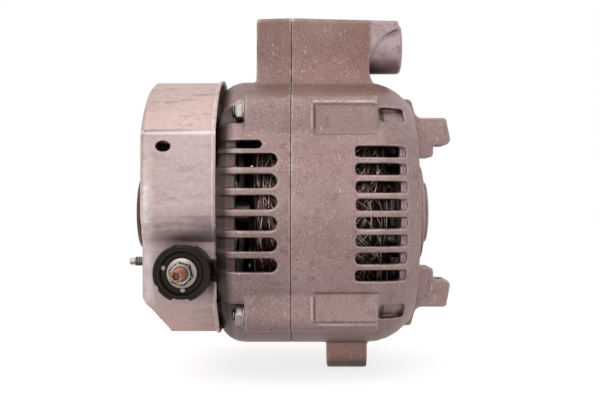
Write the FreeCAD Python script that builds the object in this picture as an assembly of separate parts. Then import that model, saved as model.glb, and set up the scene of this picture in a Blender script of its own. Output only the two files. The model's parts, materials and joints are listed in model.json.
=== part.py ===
import FreeCAD, Part
import math
import os

# Alternator, in millimetres. The shaft lies along X with the drive end at +X, and +Z is up.
# Every axial place below is measured from the parting plane of the two end frames, positive
# towards the drive end. The finished pieces are moved so that the origin is on the shaft axis
# at the mouth of the drive socket.

# Fits and clearances
press_gap = 0.02
slide_gap = 0.05
running_gap = 0.40
free_gap = 0.30
hole_gap = 0.25

# Body and stator
body_radius = 68.0
outer_cones = 4
inner_cones = 2
stator_wall = 4.0
winding_wall = 6.0
core_depth_drive = 28.0
core_depth_rear = 5.0
stator_radial_depth = 17.45
stator_slot_count = 36
stator_slot_depth = 10.5
stator_slot_width = 4.6
stator_slot_mouth = 2.2
stator_tooth_lip = 1.6
winding_reach_drive = 17.5
winding_reach_rear = 13.0
winding_thickness = 12.0
winding_bevel = 2.5
winding_gap = 2.0
lead_radius = 1.1
lead_land = 2.5
lead_angles = (240.0, 300.0, 330.0)

# Drive end frame
drive_frame_length = 61.0
drive_shoulder_length = 22.5
drive_shoulder_drop = 8.5
drive_edge_chamfer = 3.0
end_wall = 4.0
drive_cavity_drop = 10.5
front_boss_radius = 25.0
front_boss_height = 6.3
nose_radius = 16.0
nose_height = 3.0
nose_bore = 10.5
drive_slot_count = 8
drive_slot_pitch = 8.2
drive_slot_height = 5.2
drive_slot_start = 29.7
drive_slot_length = 20.9
drive_slot_corner = 1.6
drive_rib_run = 3.4
rib_recess = 2.2
front_inlet_count = 12
front_inlet_width = 9.0
front_inlet_inner = 32.0
front_inlet_land = 9.5
front_inlet_round = 2.25

# Rear end frame
rear_frame_length = 35.0
rear_shoulder_length = 11.0
rear_shoulder_drop = 5.5
rear_cavity_drop = 6.0
rear_slot_count = 6
rear_slot_pitch = 9.7
rear_slot_height = 6.4
rear_slot_shift = 0.5
rear_slot_start = 6.3
rear_slot_length = 19.2
rear_top_slot_place = 32.2
rear_top_slot_height = 3.8
rear_top_slot_start = 13.5
rear_inlet_inner = 28.0
rear_inlet_land = 9.0
rear_inlet_sweep = 22.0
rear_inlet_count = 12

# Corner blocks and through studs
stud_circle_rise = 0.45
stud_boss_radius = 8.0
stud_boss_drive = 40.8
stud_boss_rear = 21.9
pad_start = 10.8
pad_sink = 1.0
pad_land = 5.4
pad_height = 15.0
pocket_depth = 3.0
pocket_length = 12.5
pocket_start = 1.2
pocket_land = 5.9
pocket_height = 7.0
stud_radius = 3.0
stud_grip = 20.0
stud_tip = 1.9
nut_flats = 10.0
nut_height = 4.4
nut_flange_radius = 6.0
nut_pocket_gap = 0.6
nut_pocket_wall = 1.6
nut_flange_height = 1.2

# Pivot arm on top of both frames
arm_half_width = 14.0
arm_flare_reach = 34.0
arm_flare_rise = 14.0
arm_flare_depth = 6.0
arm_rear_reach = 18.1
arm_foot_spread = 5.8
arm_foot_drop = 2.5
arm_rise = 32.4
arm_draft = 1.4
arm_rear_draft = 0.5
arm_edge_round = 2.5
arm_web_length = 41.0
arm_base_length = 47.8
arm_tip_length = 55.2
arm_tip_drop = 4.5
pivot_boss_radius = 13.0
pivot_boss_length = 57.2
pivot_bore_radius = 5.2
pivot_boss_chamfer = 1.2

# Lower lug
lug_start = 18.3
lug_length = 20.7
lug_drop = 13.6
lug_half_width = 10.0
lug_thread_radius = 3.4
lug_edge_round = 1.5

# Front ears, the same above and below the axis
ear_half_width = 11.0
ear_thickness = 14.0
ear_set = 19.0
ear_length = 82.3
ear_taper = 2.3
ear_root_step = 6.4
ear_root_length = 73.4
ear_root_rise = 9.6
ear_root_end = 61.7
ear_hole_radius = 4.25
ear_hole_place = 75.0
ear_edge_round = 1.5

# Rotor
shaft_radius = 10.0
shaft_drive_reach = 7.5
shaft_rear_reach = 33.0
socket_radius = 5.0
socket_depth = 16.0
key_width = 3.0
key_depth = 1.6
pole_length = 42.0
pole_plate = 11.0
coil_depth = 9.7
pole_pairs = 6
finger_root_width = 21.5
finger_tip_width = 9.0
finger_root_depth = 10.0
finger_tip_depth = 4.5
finger_end_gap = 1.5
finger_chamfer = 3.0
finger_tip_round = 2.25
plate_notch_depth = 9.0
bobbin_clearance = 2.6
bobbin_wall = 1.2
fan_plate = 1.5
fan_drop = 2.1
fan_blade_thickness = 1.4
fan_blade_length = 15.0
fan_blade_lean = 32.0
fan_blade_middle_lean = 10.5
drive_fan_gap = 4.5
rear_fan_height = 11.0
drive_fan_blades = 10
rear_fan_blades = 11
collar_radius = 13.0

# Bearings
drive_bearing_bore = 8.5
drive_bearing_radius = 20.0
drive_bearing_width = 12.0
drive_bearing_set = 9.0
rear_bearing_bore = 7.5
rear_bearing_radius = 17.5
rear_bearing_width = 11.0
rear_bearing_set = 5.0
bearing_ring_share = 0.28
seal_depth = 1.2
bearing_housing_wall = 4.0
bearing_lip = 2.5
bearing_relief = 1.2
seal_gap = 0.15
retainer_thickness = 2.0
retainer_screw_circle = 26.5
retainer_screw_radius = 2.0
retainer_screw_head = 3.6
retainer_lug_radius = 4.5
retainer_screw_count = 3
retainer_gap = 1.0

# Slip rings and brushes
sleeve_radius = 5.8
ring_seat_radius = 5.0
ring_radius = 7.25
ring_width = 5.5
ring_spacing = 7.5
inner_ring_set = 20.25
brush_width = 4.5
brush_depth = 6.0
brush_length = 16.0
brush_gap = 0.15
brush_holder_wall = 2.0
brush_holder_low = 9.3
brush_holder_high = 37.0
spring_turns = 4
spring_wire = 0.7
spring_radius = 1.8

# Rear cover
cover_length = 35.8
cover_sheet = 1.2
cover_edge_bevel = 1.8
cover_fold_radius = 14.0
cover_bend_radius = 6.0
cover_flat_set = 11.0
cover_lean = 1.5
cover_flat_z = -4.0
cover_recess_set = 18.0
cover_recess_top = -9.5
cover_bottom_set = 6.5
cover_bevel_rise = 21.5
cover_bevel_run = 11.8
cover_hole_half_length = 3.65
cover_hole_half_height = 2.65
cover_hole_place = 60.0
cover_hole_z = 31.6
cover_notch_height = 9.5
cover_notch_depth = 5.5
cover_lip = 1.0
cover_stud_set = 18.5
cover_stud_angles = (45.0, 135.0, 315.0)
cover_stud_radius = 2.5
cover_stud_grip = 8.0
cover_post_radius = 5.0
cover_post_height = 10.0
cover_spacer_radius = 4.0
cover_dimple_radius = 8.0
cover_dimple_depth = 4.8
cover_nut_flats = 8.0
cover_nut_height = 4.0
vent_count = 10
vent_width = 4.0
vent_inner = 27.0
vent_outer = 39.0
vent_round = 1.8
drum_radius = 20.0
drum_wall = 2.0
drum_length = 8.2
drum_flange = 3.0
drum_edge_bevel = 1.5

# Rectifier and regulator
sink_inner = 25.5
sink_land = 5.3
sink_thickness = 3.0
sink_spacing = 4.5
sink_from = 185.0
sink_to = 355.0
diode_land = 9.2
diode_radius = 5.6
diode_height = 6.0
diode_lead_radius = 0.7
sink_lead_hole = 2.0
negative_diode_angles = (225.0, 260.0, 295.0)
positive_diode_angles = (242.5, 277.5, 312.5)
terminal_ring_inner_land = 6.3
terminal_ring_outer_land = 6.7
terminal_ring_thickness = 3.0
terminal_ring_set = 18.0
terminal_ring_overhang = 8.0
rectifier_screw_angles = (195.0, 345.0)
rectifier_screw_radius = 2.0
rectifier_spacer_radius = 4.0
rectifier_head_radius = 3.5
rectifier_head_height = 2.4
rectifier_screw_grip = 2.5
regulator_half_width = 18.0
regulator_low = 24.0
regulator_high = 46.0
regulator_set = 3.0
regulator_depth = 11.5
regulator_fin_count = 3
regulator_fin_pitch = 4.2
regulator_fin_thickness = 1.4
regulator_fin_height = 8.0
regulator_plate = 2.5
regulator_round = 2.0
brush_flange = 1.5
brush_flange_inset = 4.0
regulator_post_radius = 3.5
regulator_screw_circle = 36.0
regulator_screw_angles = (75.0, 105.0)

# Battery terminal on the near side of the cover
terminal_place = 50.1
terminal_z = -27.3
insulator_radius = 13.2
insulator_height = 16.0
insulator_floor = 3.0
insulator_ring = 3.2
insulator_neck_radius = 7.6
insulator_flat = 2.4
battery_stud_radius = 3.0
battery_thread_radius = 3.3
battery_neck_radius = 2.7
battery_neck_length = 0.6
battery_point_chamfer = 0.6
battery_stud_reach = 16.0
battery_head_height = 3.5
battery_head_flats = 9.0
battery_nut_flats = 10.0
battery_nut_height = 5.2
battery_flange_radius = 6.9
battery_flange_height = 1.4
strap_thickness = 2.0
strap_width = 13.0
strap_foot = 13.5

# Small terminal in the rear face of the cover
lamp_set = 15.0
lamp_z = -23.7
lamp_radius = 2.35
lamp_shank_radius = 2.0
lamp_point_radius = 1.7
lamp_point_length = 2.6
lamp_length = 8.4
lamp_bush_radius = 5.0
lamp_neck_radius = 3.6
lamp_head_radius = 4.2
lamp_head_height = 2.0

# Places that follow from the values above
shaft_drive_end = drive_frame_length + shaft_drive_reach
shaft_rear_end = rear_frame_length + shaft_rear_reach
origin_shift = -shaft_drive_end
core_radius = body_radius - stator_wall - slide_gap
stator_bore_radius = core_radius - stator_radial_depth
cavity_radius = body_radius - winding_wall
core_length = core_depth_drive + core_depth_rear
core_middle = (core_depth_drive - core_depth_rear) / 2
rotor_radius = stator_bore_radius - running_gap
bobbin_radius = rotor_radius - finger_root_depth - bobbin_clearance
pole_hub_radius = bobbin_radius - coil_depth
fan_radius = rotor_radius - fan_drop
fan_blade_inner = fan_radius - fan_blade_length
pole_front = core_middle + pole_length / 2
pole_rear = core_middle - pole_length / 2
stud_place = (body_radius + stud_circle_rise) / math.sqrt(2)
corner_reach = stud_place + stud_boss_radius
front_inlet_outer = body_radius - drive_shoulder_drop - drive_edge_chamfer - front_inlet_land
rear_inlet_outer = body_radius - rear_shoulder_drop - rear_inlet_land
lead_circle = rear_inlet_outer - lead_land
arm_height = body_radius + arm_rise
lug_reach = body_radius + lug_drop
ear_outer = body_radius - ear_set
ear_inner = ear_outer - ear_thickness
ear_root_inner = ear_inner - ear_root_step
ear_root_outer = ear_outer + ear_root_rise
pivot_axis_z = arm_height - arm_draft - pivot_boss_radius
arm_root = cavity_radius - end_wall
lug_hole_drop = lug_reach - lug_half_width
drive_slot_end = drive_slot_start + drive_slot_length
rear_slot_end = -rear_slot_start - rear_slot_length
drive_bearing_place = drive_frame_length - drive_bearing_set
rear_bearing_place = rear_frame_length - rear_bearing_set
drive_fan_height = drive_bearing_place - retainer_thickness - drive_fan_gap - pole_front
inner_ring_place = rear_frame_length + inner_ring_set
regulator_place = rear_frame_length + regulator_set
terminal_ring_place = rear_frame_length + terminal_ring_set
drive_housing_radius = drive_bearing_radius + bearing_housing_wall
rear_housing_radius = rear_bearing_radius + bearing_housing_wall
ring_seat_start = rear_bearing_place + rear_bearing_width + bearing_lip
cover_rear = -rear_frame_length - cover_length
cover_front = -rear_frame_length - free_gap
cover_radius = body_radius - free_gap
cover_flat_y = body_radius - cover_flat_set
cover_crease_y = cover_flat_y - cover_lean
cover_crease_z = math.sqrt(cover_radius ** 2 - cover_crease_y ** 2)
cover_recess_y = body_radius - cover_recess_set
cover_bottom = body_radius - cover_bottom_set
cover_bevel_z = cover_bevel_rise - cover_bottom
cover_stud_circle = body_radius - cover_stud_set
sink_outer = cover_recess_y - cover_sheet - sink_land
diode_circle = sink_outer - diode_land
terminal_ring_inner = diode_circle - terminal_ring_inner_land
terminal_ring_outer = diode_circle + terminal_ring_outer_land
lamp_y = lamp_set - cover_recess_y
insulator_rim_y = cover_recess_y + insulator_height
battery_stud_end = insulator_rim_y + battery_stud_reach

X_AXIS = FreeCAD.Vector(1, 0, 0)
ORIGIN = FreeCAD.Vector(0, 0, 0)


def vec(x, y, z):
    return FreeCAD.Vector(x, y, z)


def in_side_view(a, b):
    """Places a drawn point in the XZ plane."""
    return vec(a, 0, b)


def in_end_view(a, b):
    """Places a drawn point in the YZ plane."""
    return vec(0, a, b)


def in_top_view(a, b):
    """Places a drawn point in the XY plane."""
    return vec(a, b, 0)


def outline(steps, place):
    """Closed face: a step of two numbers is a straight run, one of four an arc through its first pair."""
    edges = []
    last = place(*steps[0])
    first = last
    for step in steps[1:]:
        end = place(*step[-2:])
        if len(step) == 4:
            edges.append(Part.Arc(last, place(*step[:2]), end).toShape())
        else:
            edges.append(Part.LineSegment(last, end).toShape())
        last = end
    if last.distanceToPoint(first) > 1e-6:
        edges.append(Part.LineSegment(last, first).toShape())
    return Part.Face(Part.Wire(edges))


def rounded(corners):
    """Steps for outline(), with each corner (a, b, radius) turned into an arc."""
    steps = []
    for index, (a, b, radius) in enumerate(corners):
        if radius == 0:
            steps.append((a, b))
            continue
        corner = vec(a, b, 0)
        before = corners[index - 1]
        after = corners[(index + 1) % len(corners)]
        back = (vec(before[0], before[1], 0) - corner).normalize()
        ahead = (vec(after[0], after[1], 0) - corner).normalize()
        half_turn = back.getAngle(ahead) / 2
        setback = radius / math.tan(half_turn)
        inward = (back + ahead).normalize()
        middle = corner + inward * (radius / math.sin(half_turn) - radius)
        start = corner + back * setback
        end = corner + ahead * setback
        steps.append((start.x, start.y))
        steps.append((middle.x, middle.y, end.x, end.y))
    return steps


def shoulder(start, end, cones):
    """Places on an arc that leaves start along the shaft and reaches end, one for each cone."""
    run = end[0] - start[0]
    drop = start[1] - end[1]
    radius = (run * run + drop * drop) / (2 * drop)
    turn = math.asin(abs(run) / radius)
    places = []
    for index in range(1, cones + 1):
        angle = turn * index / cones
        places.append((start[0] + math.copysign(radius * math.sin(angle), run),
                       start[1] - radius * (1 - math.cos(angle))))
    return places


def revolve(steps):
    return outline(steps, in_side_view).revolve(ORIGIN, X_AXIS, 360)


def rod(start, end, radius, y=0.0, z=0.0):
    """Cylinder along X."""
    return Part.makeCylinder(radius, end - start, vec(start, y, z), X_AXIS)


def tube(start, end, outer, inner, y=0.0, z=0.0):
    return rod(start, end, outer, y, z).cut(rod(start, end, inner, y, z))


def box(x0, x1, y0, y1, z0, z1):
    return Part.makeBox(x1 - x0, y1 - y0, z1 - z0, vec(x0, y0, z0))


def plate(corners, place, direction, start):
    """Prism of a rounded outline, from start along direction."""
    face = outline(rounded(corners), place)
    face.translate(start)
    return face.extrude(direction)


def slot_prism(start, end, low, high, radii, direction, near):
    """Slot cutter along direction, its corner radii given at its start and its end."""
    first, last = radii
    corners = [(start, low, first), (end, low, last), (end, high, last), (start, high, first)]
    return plate(corners, in_side_view, direction, near)


def turned(shape, angle):
    """Copy of a shape, turned about the shaft axis."""
    copy = shape.copy()
    copy.rotate(ORIGIN, X_AXIS, angle)
    return copy


def around(shape, count, first=0.0):
    return [turned(shape, first + index * 360.0 / count) for index in range(count)]


def at_angle(circle, angle):
    """Place in the end view on a circle about the shaft, the angle counted from +Y towards +Z."""
    return circle * math.cos(math.radians(angle)), circle * math.sin(math.radians(angle))


def fuse(shapes):
    return shapes[0].multiFuse(shapes[1:]).removeSplitter()


def hexagon(across_flats, start, direction):
    """Hexagonal prism from start along direction."""
    corner = across_flats / math.sqrt(3)
    side = vec(0, 0, 1) if abs(direction.z) < abs(direction.x) + abs(direction.y) else vec(1, 0, 0)
    other = direction.cross(side).normalize()
    points = []
    for index in range(7):
        turn = math.radians(60 * index)
        points.append(start + side * (corner * math.cos(turn)) + other * (corner * math.sin(turn)))
    return Part.Face(Part.makePolygon(points)).extrude(direction)


def along(shape, direction):
    """Edges of a shape that run straight along a direction."""
    found = []
    for edge in shape.Edges:
        ends = edge.Vertexes
        if len(ends) != 2 or not isinstance(edge.Curve, Part.Line):
            continue
        run = (ends[1].Point - ends[0].Point).normalize()
        if abs(run.dot(direction)) > 0.999:
            found.append(edge)
    return found


def frame_corners():
    """The four places of the through studs in the end view."""
    return [(y * stud_place, z * stud_place) for y in (-1, 1) for z in (-1, 1)]


def corner_block(start, end):
    """Square section with round corners, whose corners stand out of the round body."""
    side = corner_reach
    corners = [(-side, -side), (side, -side), (side, side), (-side, side)]
    steps = [(y, z, stud_boss_radius) for y, z in corners]
    return plate(steps, in_end_view, vec(end - start, 0, 0), vec(start, 0, 0))


def air_slots(heights, start, end, radii, height):
    """Cutters for a bank of slots on the near and on the far side."""
    reach = math.sqrt(cavity_radius ** 2 - max(abs(h) for h in heights) ** 2) - 2 * winding_wall
    near = vec(0, -body_radius - winding_wall, 0)
    direction = vec(0, body_radius + winding_wall - reach, 0)
    cutters = []
    for level in heights:
        cutter = slot_prism(start, end, level - height / 2, level + height / 2, radii, direction, near)
        cutters += [cutter, turned(cutter, 180)]
    return cutters


def arm_section(start, end):
    """End section of the arm, run along X: upright sides that flare out to the round body."""
    upper = body_radius + arm_flare_rise
    lower = math.sqrt((body_radius - free_gap) ** 2 - arm_flare_reach ** 2)
    middle = ((arm_half_width + arm_flare_reach) / 2 - arm_flare_depth / math.sqrt(2),
              (upper + lower) / 2 - arm_flare_depth / math.sqrt(2))
    steps = [(-arm_half_width, arm_height), (arm_half_width, arm_height), (arm_half_width, upper),
             (*middle, arm_flare_reach, lower), (arm_flare_reach, arm_root), (-arm_flare_reach, arm_root),
             (-arm_flare_reach, lower), (-middle[0], middle[1], -arm_half_width, upper)]
    face = outline(steps, in_end_view)
    face.translate(vec(start, 0, 0))
    return face.extrude(vec(end - start, 0, 0))


def pivot_arm(steps):
    """Part of the pivot arm from its side outline, with rounded long edges on top."""
    face = outline(steps, in_side_view)
    face.translate(vec(0, -arm_flare_reach, 0))
    arm = face.extrude(vec(0, 2 * arm_flare_reach, 0))
    arm = arm.common(arm_section(arm.BoundBox.XMin, arm.BoundBox.XMax))
    top = [edge for edge in arm.Edges
           if edge.BoundBox.ZMin > pivot_axis_z and edge.BoundBox.YLength < free_gap
           and edge.BoundBox.XLength > arm_edge_round]
    return arm.makeFillet(arm_edge_round, top)


def drive_end_frame():
    """Drive side casting with its arm, lug, ears, front boss, air slots and bearing seat."""
    bend = (drive_frame_length - drive_shoulder_length, body_radius)
    edge = (drive_frame_length - drive_edge_chamfer, body_radius - drive_shoulder_drop)
    boss_end = drive_frame_length + front_boss_height
    nose_end = boss_end + nose_height
    body = revolve([(0, 0), (0, body_radius), bend, *shoulder(bend, edge, outer_cones),
                    (drive_frame_length, edge[1] - drive_edge_chamfer),
                    (drive_frame_length, front_boss_radius), (boss_end, front_boss_radius),
                    (boss_end, nose_radius), (nose_end, nose_radius), (nose_end, 0)])
    body = fuse([body, corner_block(0, stud_boss_drive), drive_arm(), lower_lug()])
    body = body.cut(rib_recesses(drive_profile(rib_recess), drive_slot_heights(), drive_slot_height,
                                 drive_slot_end, drive_slot_end + drive_rib_run))
    body = body.cut(stud_pads() + [corner_pockets()])
    body = body.multiFuse([front_ear(1), front_ear(-1)])
    body = body.cut(drive_cavity())
    body = body.multiFuse(retainer_lugs())
    cutters = drive_slots() + front_inlets() + ear_holes() + retainer_screw_holes()
    cutters += [rod(-free_gap, stud_boss_drive - stud_boss_radius, stud_radius + hole_gap, y, z)
                for y, z in frame_corners()]
    cutters.append(rod(-free_gap, pivot_boss_length + free_gap, pivot_bore_radius, 0, pivot_axis_z))
    cutters.append(rod(lug_start - free_gap, lug_start + lug_length + free_gap,
                       lug_thread_radius, 0, -lug_hole_drop))
    return body.cut(cutters).removeSplitter()


def drive_profile(depth):
    """Drive side shoulder of the body, lowered by the depth of a recess in it."""
    bend = (drive_frame_length - drive_shoulder_length, body_radius - depth)
    edge = (drive_frame_length - drive_edge_chamfer, body_radius - drive_shoulder_drop - depth)
    return revolve([(0, 0), (0, bend[1]), bend, *shoulder(bend, edge, outer_cones), (edge[0], 0)])


def rear_profile(depth):
    """Rear shoulder of the body, lowered by the depth of a recess in it."""
    bend = (rear_shoulder_length - rear_frame_length, body_radius - depth)
    edge = (-rear_frame_length, body_radius - rear_shoulder_drop - depth)
    return revolve([(0, 0), (0, bend[1]), bend, *shoulder(bend, edge, outer_cones), (edge[0], 0)])


def rib_recesses(core, heights, height, start, end):
    """Shallow grooves between the ribs, on the near and the far side, from start to end."""
    low = min(start, end)
    high = max(start, end)
    grooves = []
    for level in heights:
        near = box(low, high, -body_radius, -corner_reach / 2, level - height / 2, level + height / 2)
        grooves.append(near)
        grooves.append(turned(near, 180))
    return fuse(grooves).cut(core)


def drive_slot_heights():
    middle = (drive_slot_count - 1) / 2
    return [(index - middle) * drive_slot_pitch for index in range(drive_slot_count)]


def rear_slot_heights():
    middle = (rear_slot_count - 1) / 2
    return [rear_slot_shift + (index - middle) * rear_slot_pitch for index in range(rear_slot_count)]


def drive_slots():
    radii = (drive_slot_corner, free_gap)
    return air_slots(drive_slot_heights(), drive_slot_start, drive_slot_end, radii, drive_slot_height)


def mirrored_across(shape):
    """A shape on the near upper flank and its three mirror images on the other flanks."""
    flank = [shape, shape.mirror(ORIGIN, vec(0, 1, 0))]
    return flank + [copy.mirror(ORIGIN, vec(0, 0, 1)) for copy in flank]


def stud_pads():
    """Shallow sunk panels in the flanks beside the drive side stud bosses."""
    high = corner_reach - pad_land
    return mirrored_across(box(pad_start, stud_boss_drive + free_gap, -corner_reach - free_gap,
                               pad_sink - corner_reach, high - pad_height, high))


def corner_pockets():
    """Pockets in the drive side shoulder, just past the ends of the stud bosses."""
    start = stud_boss_drive + pocket_start
    high = corner_reach - pocket_land
    pocket = box(start, start + pocket_length, -body_radius, -corner_reach / 2, high - pocket_height, high)
    return fuse(mirrored_across(pocket)).cut(drive_profile(pocket_depth))


def drive_arm():
    """Drive side part of the pivot arm: web with a hollowed right side, and the pivot boss."""
    tip = arm_height - arm_draft
    arm = pivot_arm([(0, arm_root), (0, arm_height), (arm_tip_length, tip),
                     (arm_tip_length, tip - arm_tip_drop),
                     (arm_web_length, pivot_axis_z - arm_tip_drop, arm_base_length, arm_root)])
    boss = rod(arm_web_length / 2, pivot_boss_length, pivot_boss_radius, 0, pivot_axis_z)
    rim = [edge for edge in boss.Edges
           if abs(edge.CenterOfMass.x - pivot_boss_length) < free_gap and edge.BoundBox.YLength > free_gap]
    return arm.fuse(boss.makeChamfer(pivot_boss_chamfer, rim))


def lower_lug():
    """Lug under the body with its threaded hole along X."""
    side = lug_half_width
    corners = [(-side, -arm_root, 0), (side, -arm_root, 0),
               (side, -lug_reach, side - lug_edge_round), (-side, -lug_reach, side - lug_edge_round)]
    return plate(corners, in_end_view, vec(lug_length, 0, 0), vec(lug_start, 0, 0))


def front_ear(level):
    """One of the two front ears: level is 1 above the axis and -1 below it."""
    root = drive_frame_length - end_wall / 2
    step = ear_root_end + ear_taper
    front = ear_length - ear_taper
    corners = [(root, ear_root_inner, 0), (root - end_wall, ear_root_outer - end_wall, 0),
               (root - end_wall + ear_edge_round, ear_root_outer, 0),
               (ear_root_end, ear_root_outer, ear_edge_round),
               (step, ear_outer + ear_edge_round, ear_edge_round),
               (step + ear_taper, ear_outer, ear_edge_round), (front, ear_outer, ear_edge_round),
               (ear_length, ear_inner + ear_taper, ear_edge_round),
               (ear_length - ear_edge_round, ear_inner, ear_edge_round),
               (ear_root_length, ear_inner, ear_edge_round),
               (ear_root_length, ear_root_inner, ear_edge_round)]
    mirrored = [(u, level * z, radius) for u, z, radius in corners]
    return plate(mirrored, in_side_view, vec(0, 2 * ear_half_width, 0), vec(0, -ear_half_width, 0))


def ear_holes():
    """Bolt holes of the two ears, in one line clear of the nose between them."""
    reach = ear_outer + free_gap
    low = ear_root_inner - free_gap
    return [Part.makeCylinder(ear_hole_radius, reach - low, vec(ear_hole_place, 0, z))
            for z in (low, -reach)]


def drive_cavity():
    """Inside of the drive frame: stator seat, winding space, bearing seat and shaft hole."""
    seat = core_radius + slide_gap
    turn = (drive_frame_length - drive_shoulder_length, cavity_radius)
    wall = drive_frame_length - end_wall
    corner = (wall, cavity_radius - drive_cavity_drop)
    bearing = drive_bearing_radius + press_gap
    bearing_end = drive_bearing_place + drive_bearing_width
    relief = bearing_end + bearing_relief
    nose = drive_frame_length + front_boss_height + nose_height + free_gap
    return revolve([(-free_gap, 0), (-free_gap, seat), (core_depth_drive, seat),
                    (core_depth_drive, cavity_radius), turn, *shoulder(turn, corner, inner_cones),
                    (wall, drive_housing_radius), (drive_bearing_place, drive_housing_radius),
                    (drive_bearing_place, bearing), (bearing_end, bearing),
                    (bearing_end, drive_bearing_radius - bearing_lip),
                    (relief, drive_bearing_radius - bearing_lip), (relief, nose_bore),
                    (nose, nose_bore), (nose, 0)])


def retainer_places():
    return [at_angle(retainer_screw_circle, 90 + index * 360 / retainer_screw_count)
            for index in range(retainer_screw_count)]


def retainer_lugs():
    end = drive_frame_length - end_wall / 2
    return [rod(drive_bearing_place, end, retainer_lug_radius, y, z).cut(
        rod(drive_bearing_place, end, drive_bearing_radius + end_wall / 2)) for y, z in retainer_places()]


def retainer_screw_holes():
    end = drive_frame_length - end_wall / 2
    return [rod(drive_bearing_place - free_gap, end, retainer_screw_radius + slide_gap, y, z)
            for y, z in retainer_places()]


def front_inlets():
    """Radial air inlets in the front wall, left out where the ears stand."""
    half = front_inlet_width / 2
    corners = [(side, circle, front_inlet_round) for side, circle in (
        (-half, front_inlet_inner), (half, front_inlet_inner),
        (half, front_inlet_outer), (-half, front_inlet_outer))]
    start = drive_frame_length - end_wall - free_gap
    cutter = plate(corners, in_end_view, vec(end_wall + 2 * free_gap, 0, 0), vec(start, 0, 0))
    step = 360 / front_inlet_count
    kept = []
    for index in range(front_inlet_count):
        angle = (index + 0.5) * step
        if abs(front_inlet_inner * math.sin(math.radians(angle))) > ear_half_width + half:
            kept.append(turned(cutter, angle))
    return kept


def rear_end_frame():
    """Rear casting with its half of the pivot arm, air slots, bearing seat and cover posts."""
    bend = (rear_shoulder_length - rear_frame_length, body_radius)
    edge = (-rear_frame_length, body_radius - rear_shoulder_drop)
    housing_end = -rear_bearing_place - rear_bearing_width - bearing_lip
    body = revolve([(0, 0), (0, body_radius), bend, *shoulder(bend, edge, outer_cones),
                    (-rear_frame_length, rear_housing_radius), (housing_end, rear_housing_radius),
                    (housing_end, 0)])
    body = fuse([body, corner_block(-stud_boss_rear, 0), rear_arm()])
    nut_walls = [body.common(wall) for wall in nut_recesses(nut_pocket_wall)]
    core = rear_profile(rib_recess)
    end = -rear_frame_length - free_gap
    body = body.cut([rib_recesses(core, rear_slot_heights(), rear_slot_height, rear_slot_end, end),
                     rib_recesses(core, [rear_top_slot_place], rear_top_slot_height, rear_slot_end, end)])
    body = body.cut([rear_cavity()] + rear_inlets())
    posts = [rod(-rear_frame_length - cover_post_height, end_wall / 2 - rear_frame_length,
                 cover_post_radius, *at_angle(cover_stud_circle, angle)) for angle in cover_stud_angles]
    posts += [rod(-regulator_place, end_wall / 2 - rear_frame_length, regulator_post_radius, y, z)
              for y, z in regulator_screw_places()]
    body = body.multiFuse(posts + nut_walls)
    cutters = rear_slots() + rear_screw_holes() + nut_recesses(0)
    cutters += [rod(-stud_boss_rear - free_gap, free_gap, stud_radius + hole_gap, y, z)
                for y, z in frame_corners()]
    cutters.append(rod(-arm_rear_reach - free_gap, free_gap, pivot_bore_radius, 0, pivot_axis_z))
    return body.cut(cutters).removeSplitter()


def nut_recesses(wall):
    """Round recesses of the frame nuts, or with a wall the metal around them."""
    radius = nut_flange_radius + nut_pocket_gap + wall
    return [rod(-rear_frame_length, wall - stud_boss_rear, radius, y, z) for y, z in frame_corners()]


def rear_arm():
    foot = -arm_rear_reach - arm_foot_spread
    return pivot_arm([(0, arm_root), (0, arm_height), (-arm_rear_reach, arm_height - arm_rear_draft),
                      (-arm_rear_reach, body_radius - arm_foot_drop), (foot, arm_root)])


def rear_cavity():
    """Inside of the rear frame: stator seat, winding space and bearing seat."""
    seat = core_radius + slide_gap
    turn = (rear_shoulder_length - rear_frame_length, cavity_radius)
    wall = end_wall - rear_frame_length
    corner = (wall, cavity_radius - rear_cavity_drop)
    bearing = rear_bearing_radius + press_gap
    bearing_end = -rear_bearing_place - rear_bearing_width
    lip = rear_bearing_radius - bearing_lip
    return revolve([(free_gap, 0), (free_gap, seat), (-core_depth_rear, seat),
                    (-core_depth_rear, cavity_radius), turn, *shoulder(turn, corner, inner_cones),
                    (wall, rear_housing_radius), (-rear_bearing_place, rear_housing_radius),
                    (-rear_bearing_place, bearing), (bearing_end, bearing), (bearing_end, lip),
                    (bearing_end - bearing_lip - free_gap, lip), (bearing_end - bearing_lip - free_gap, 0)])


def rear_slots():
    """Slots with fully round front ends, and a short low one above them."""
    radii = (rear_slot_height / 2 - slide_gap, free_gap)
    top_radii = (rear_top_slot_height / 2 - slide_gap, free_gap)
    slots = air_slots(rear_slot_heights(), -rear_slot_start, rear_slot_end, radii, rear_slot_height)
    return slots + air_slots([rear_top_slot_place], -rear_top_slot_start, rear_slot_end, top_radii,
                             rear_top_slot_height)


def rear_inlets():
    """Ring of air openings in the rear wall, parted by spokes."""
    half = rear_inlet_sweep / 2
    steps = [at_angle(rear_inlet_inner, -half), at_angle(rear_inlet_inner, 0) +
             at_angle(rear_inlet_inner, half), at_angle(rear_inlet_outer, half),
             at_angle(rear_inlet_outer, 0) + at_angle(rear_inlet_outer, -half)]
    face = outline(steps, in_end_view)
    face.translate(vec(-rear_frame_length - free_gap, 0, 0))
    return around(face.extrude(vec(end_wall + 2 * free_gap, 0, 0)), rear_inlet_count)


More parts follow.
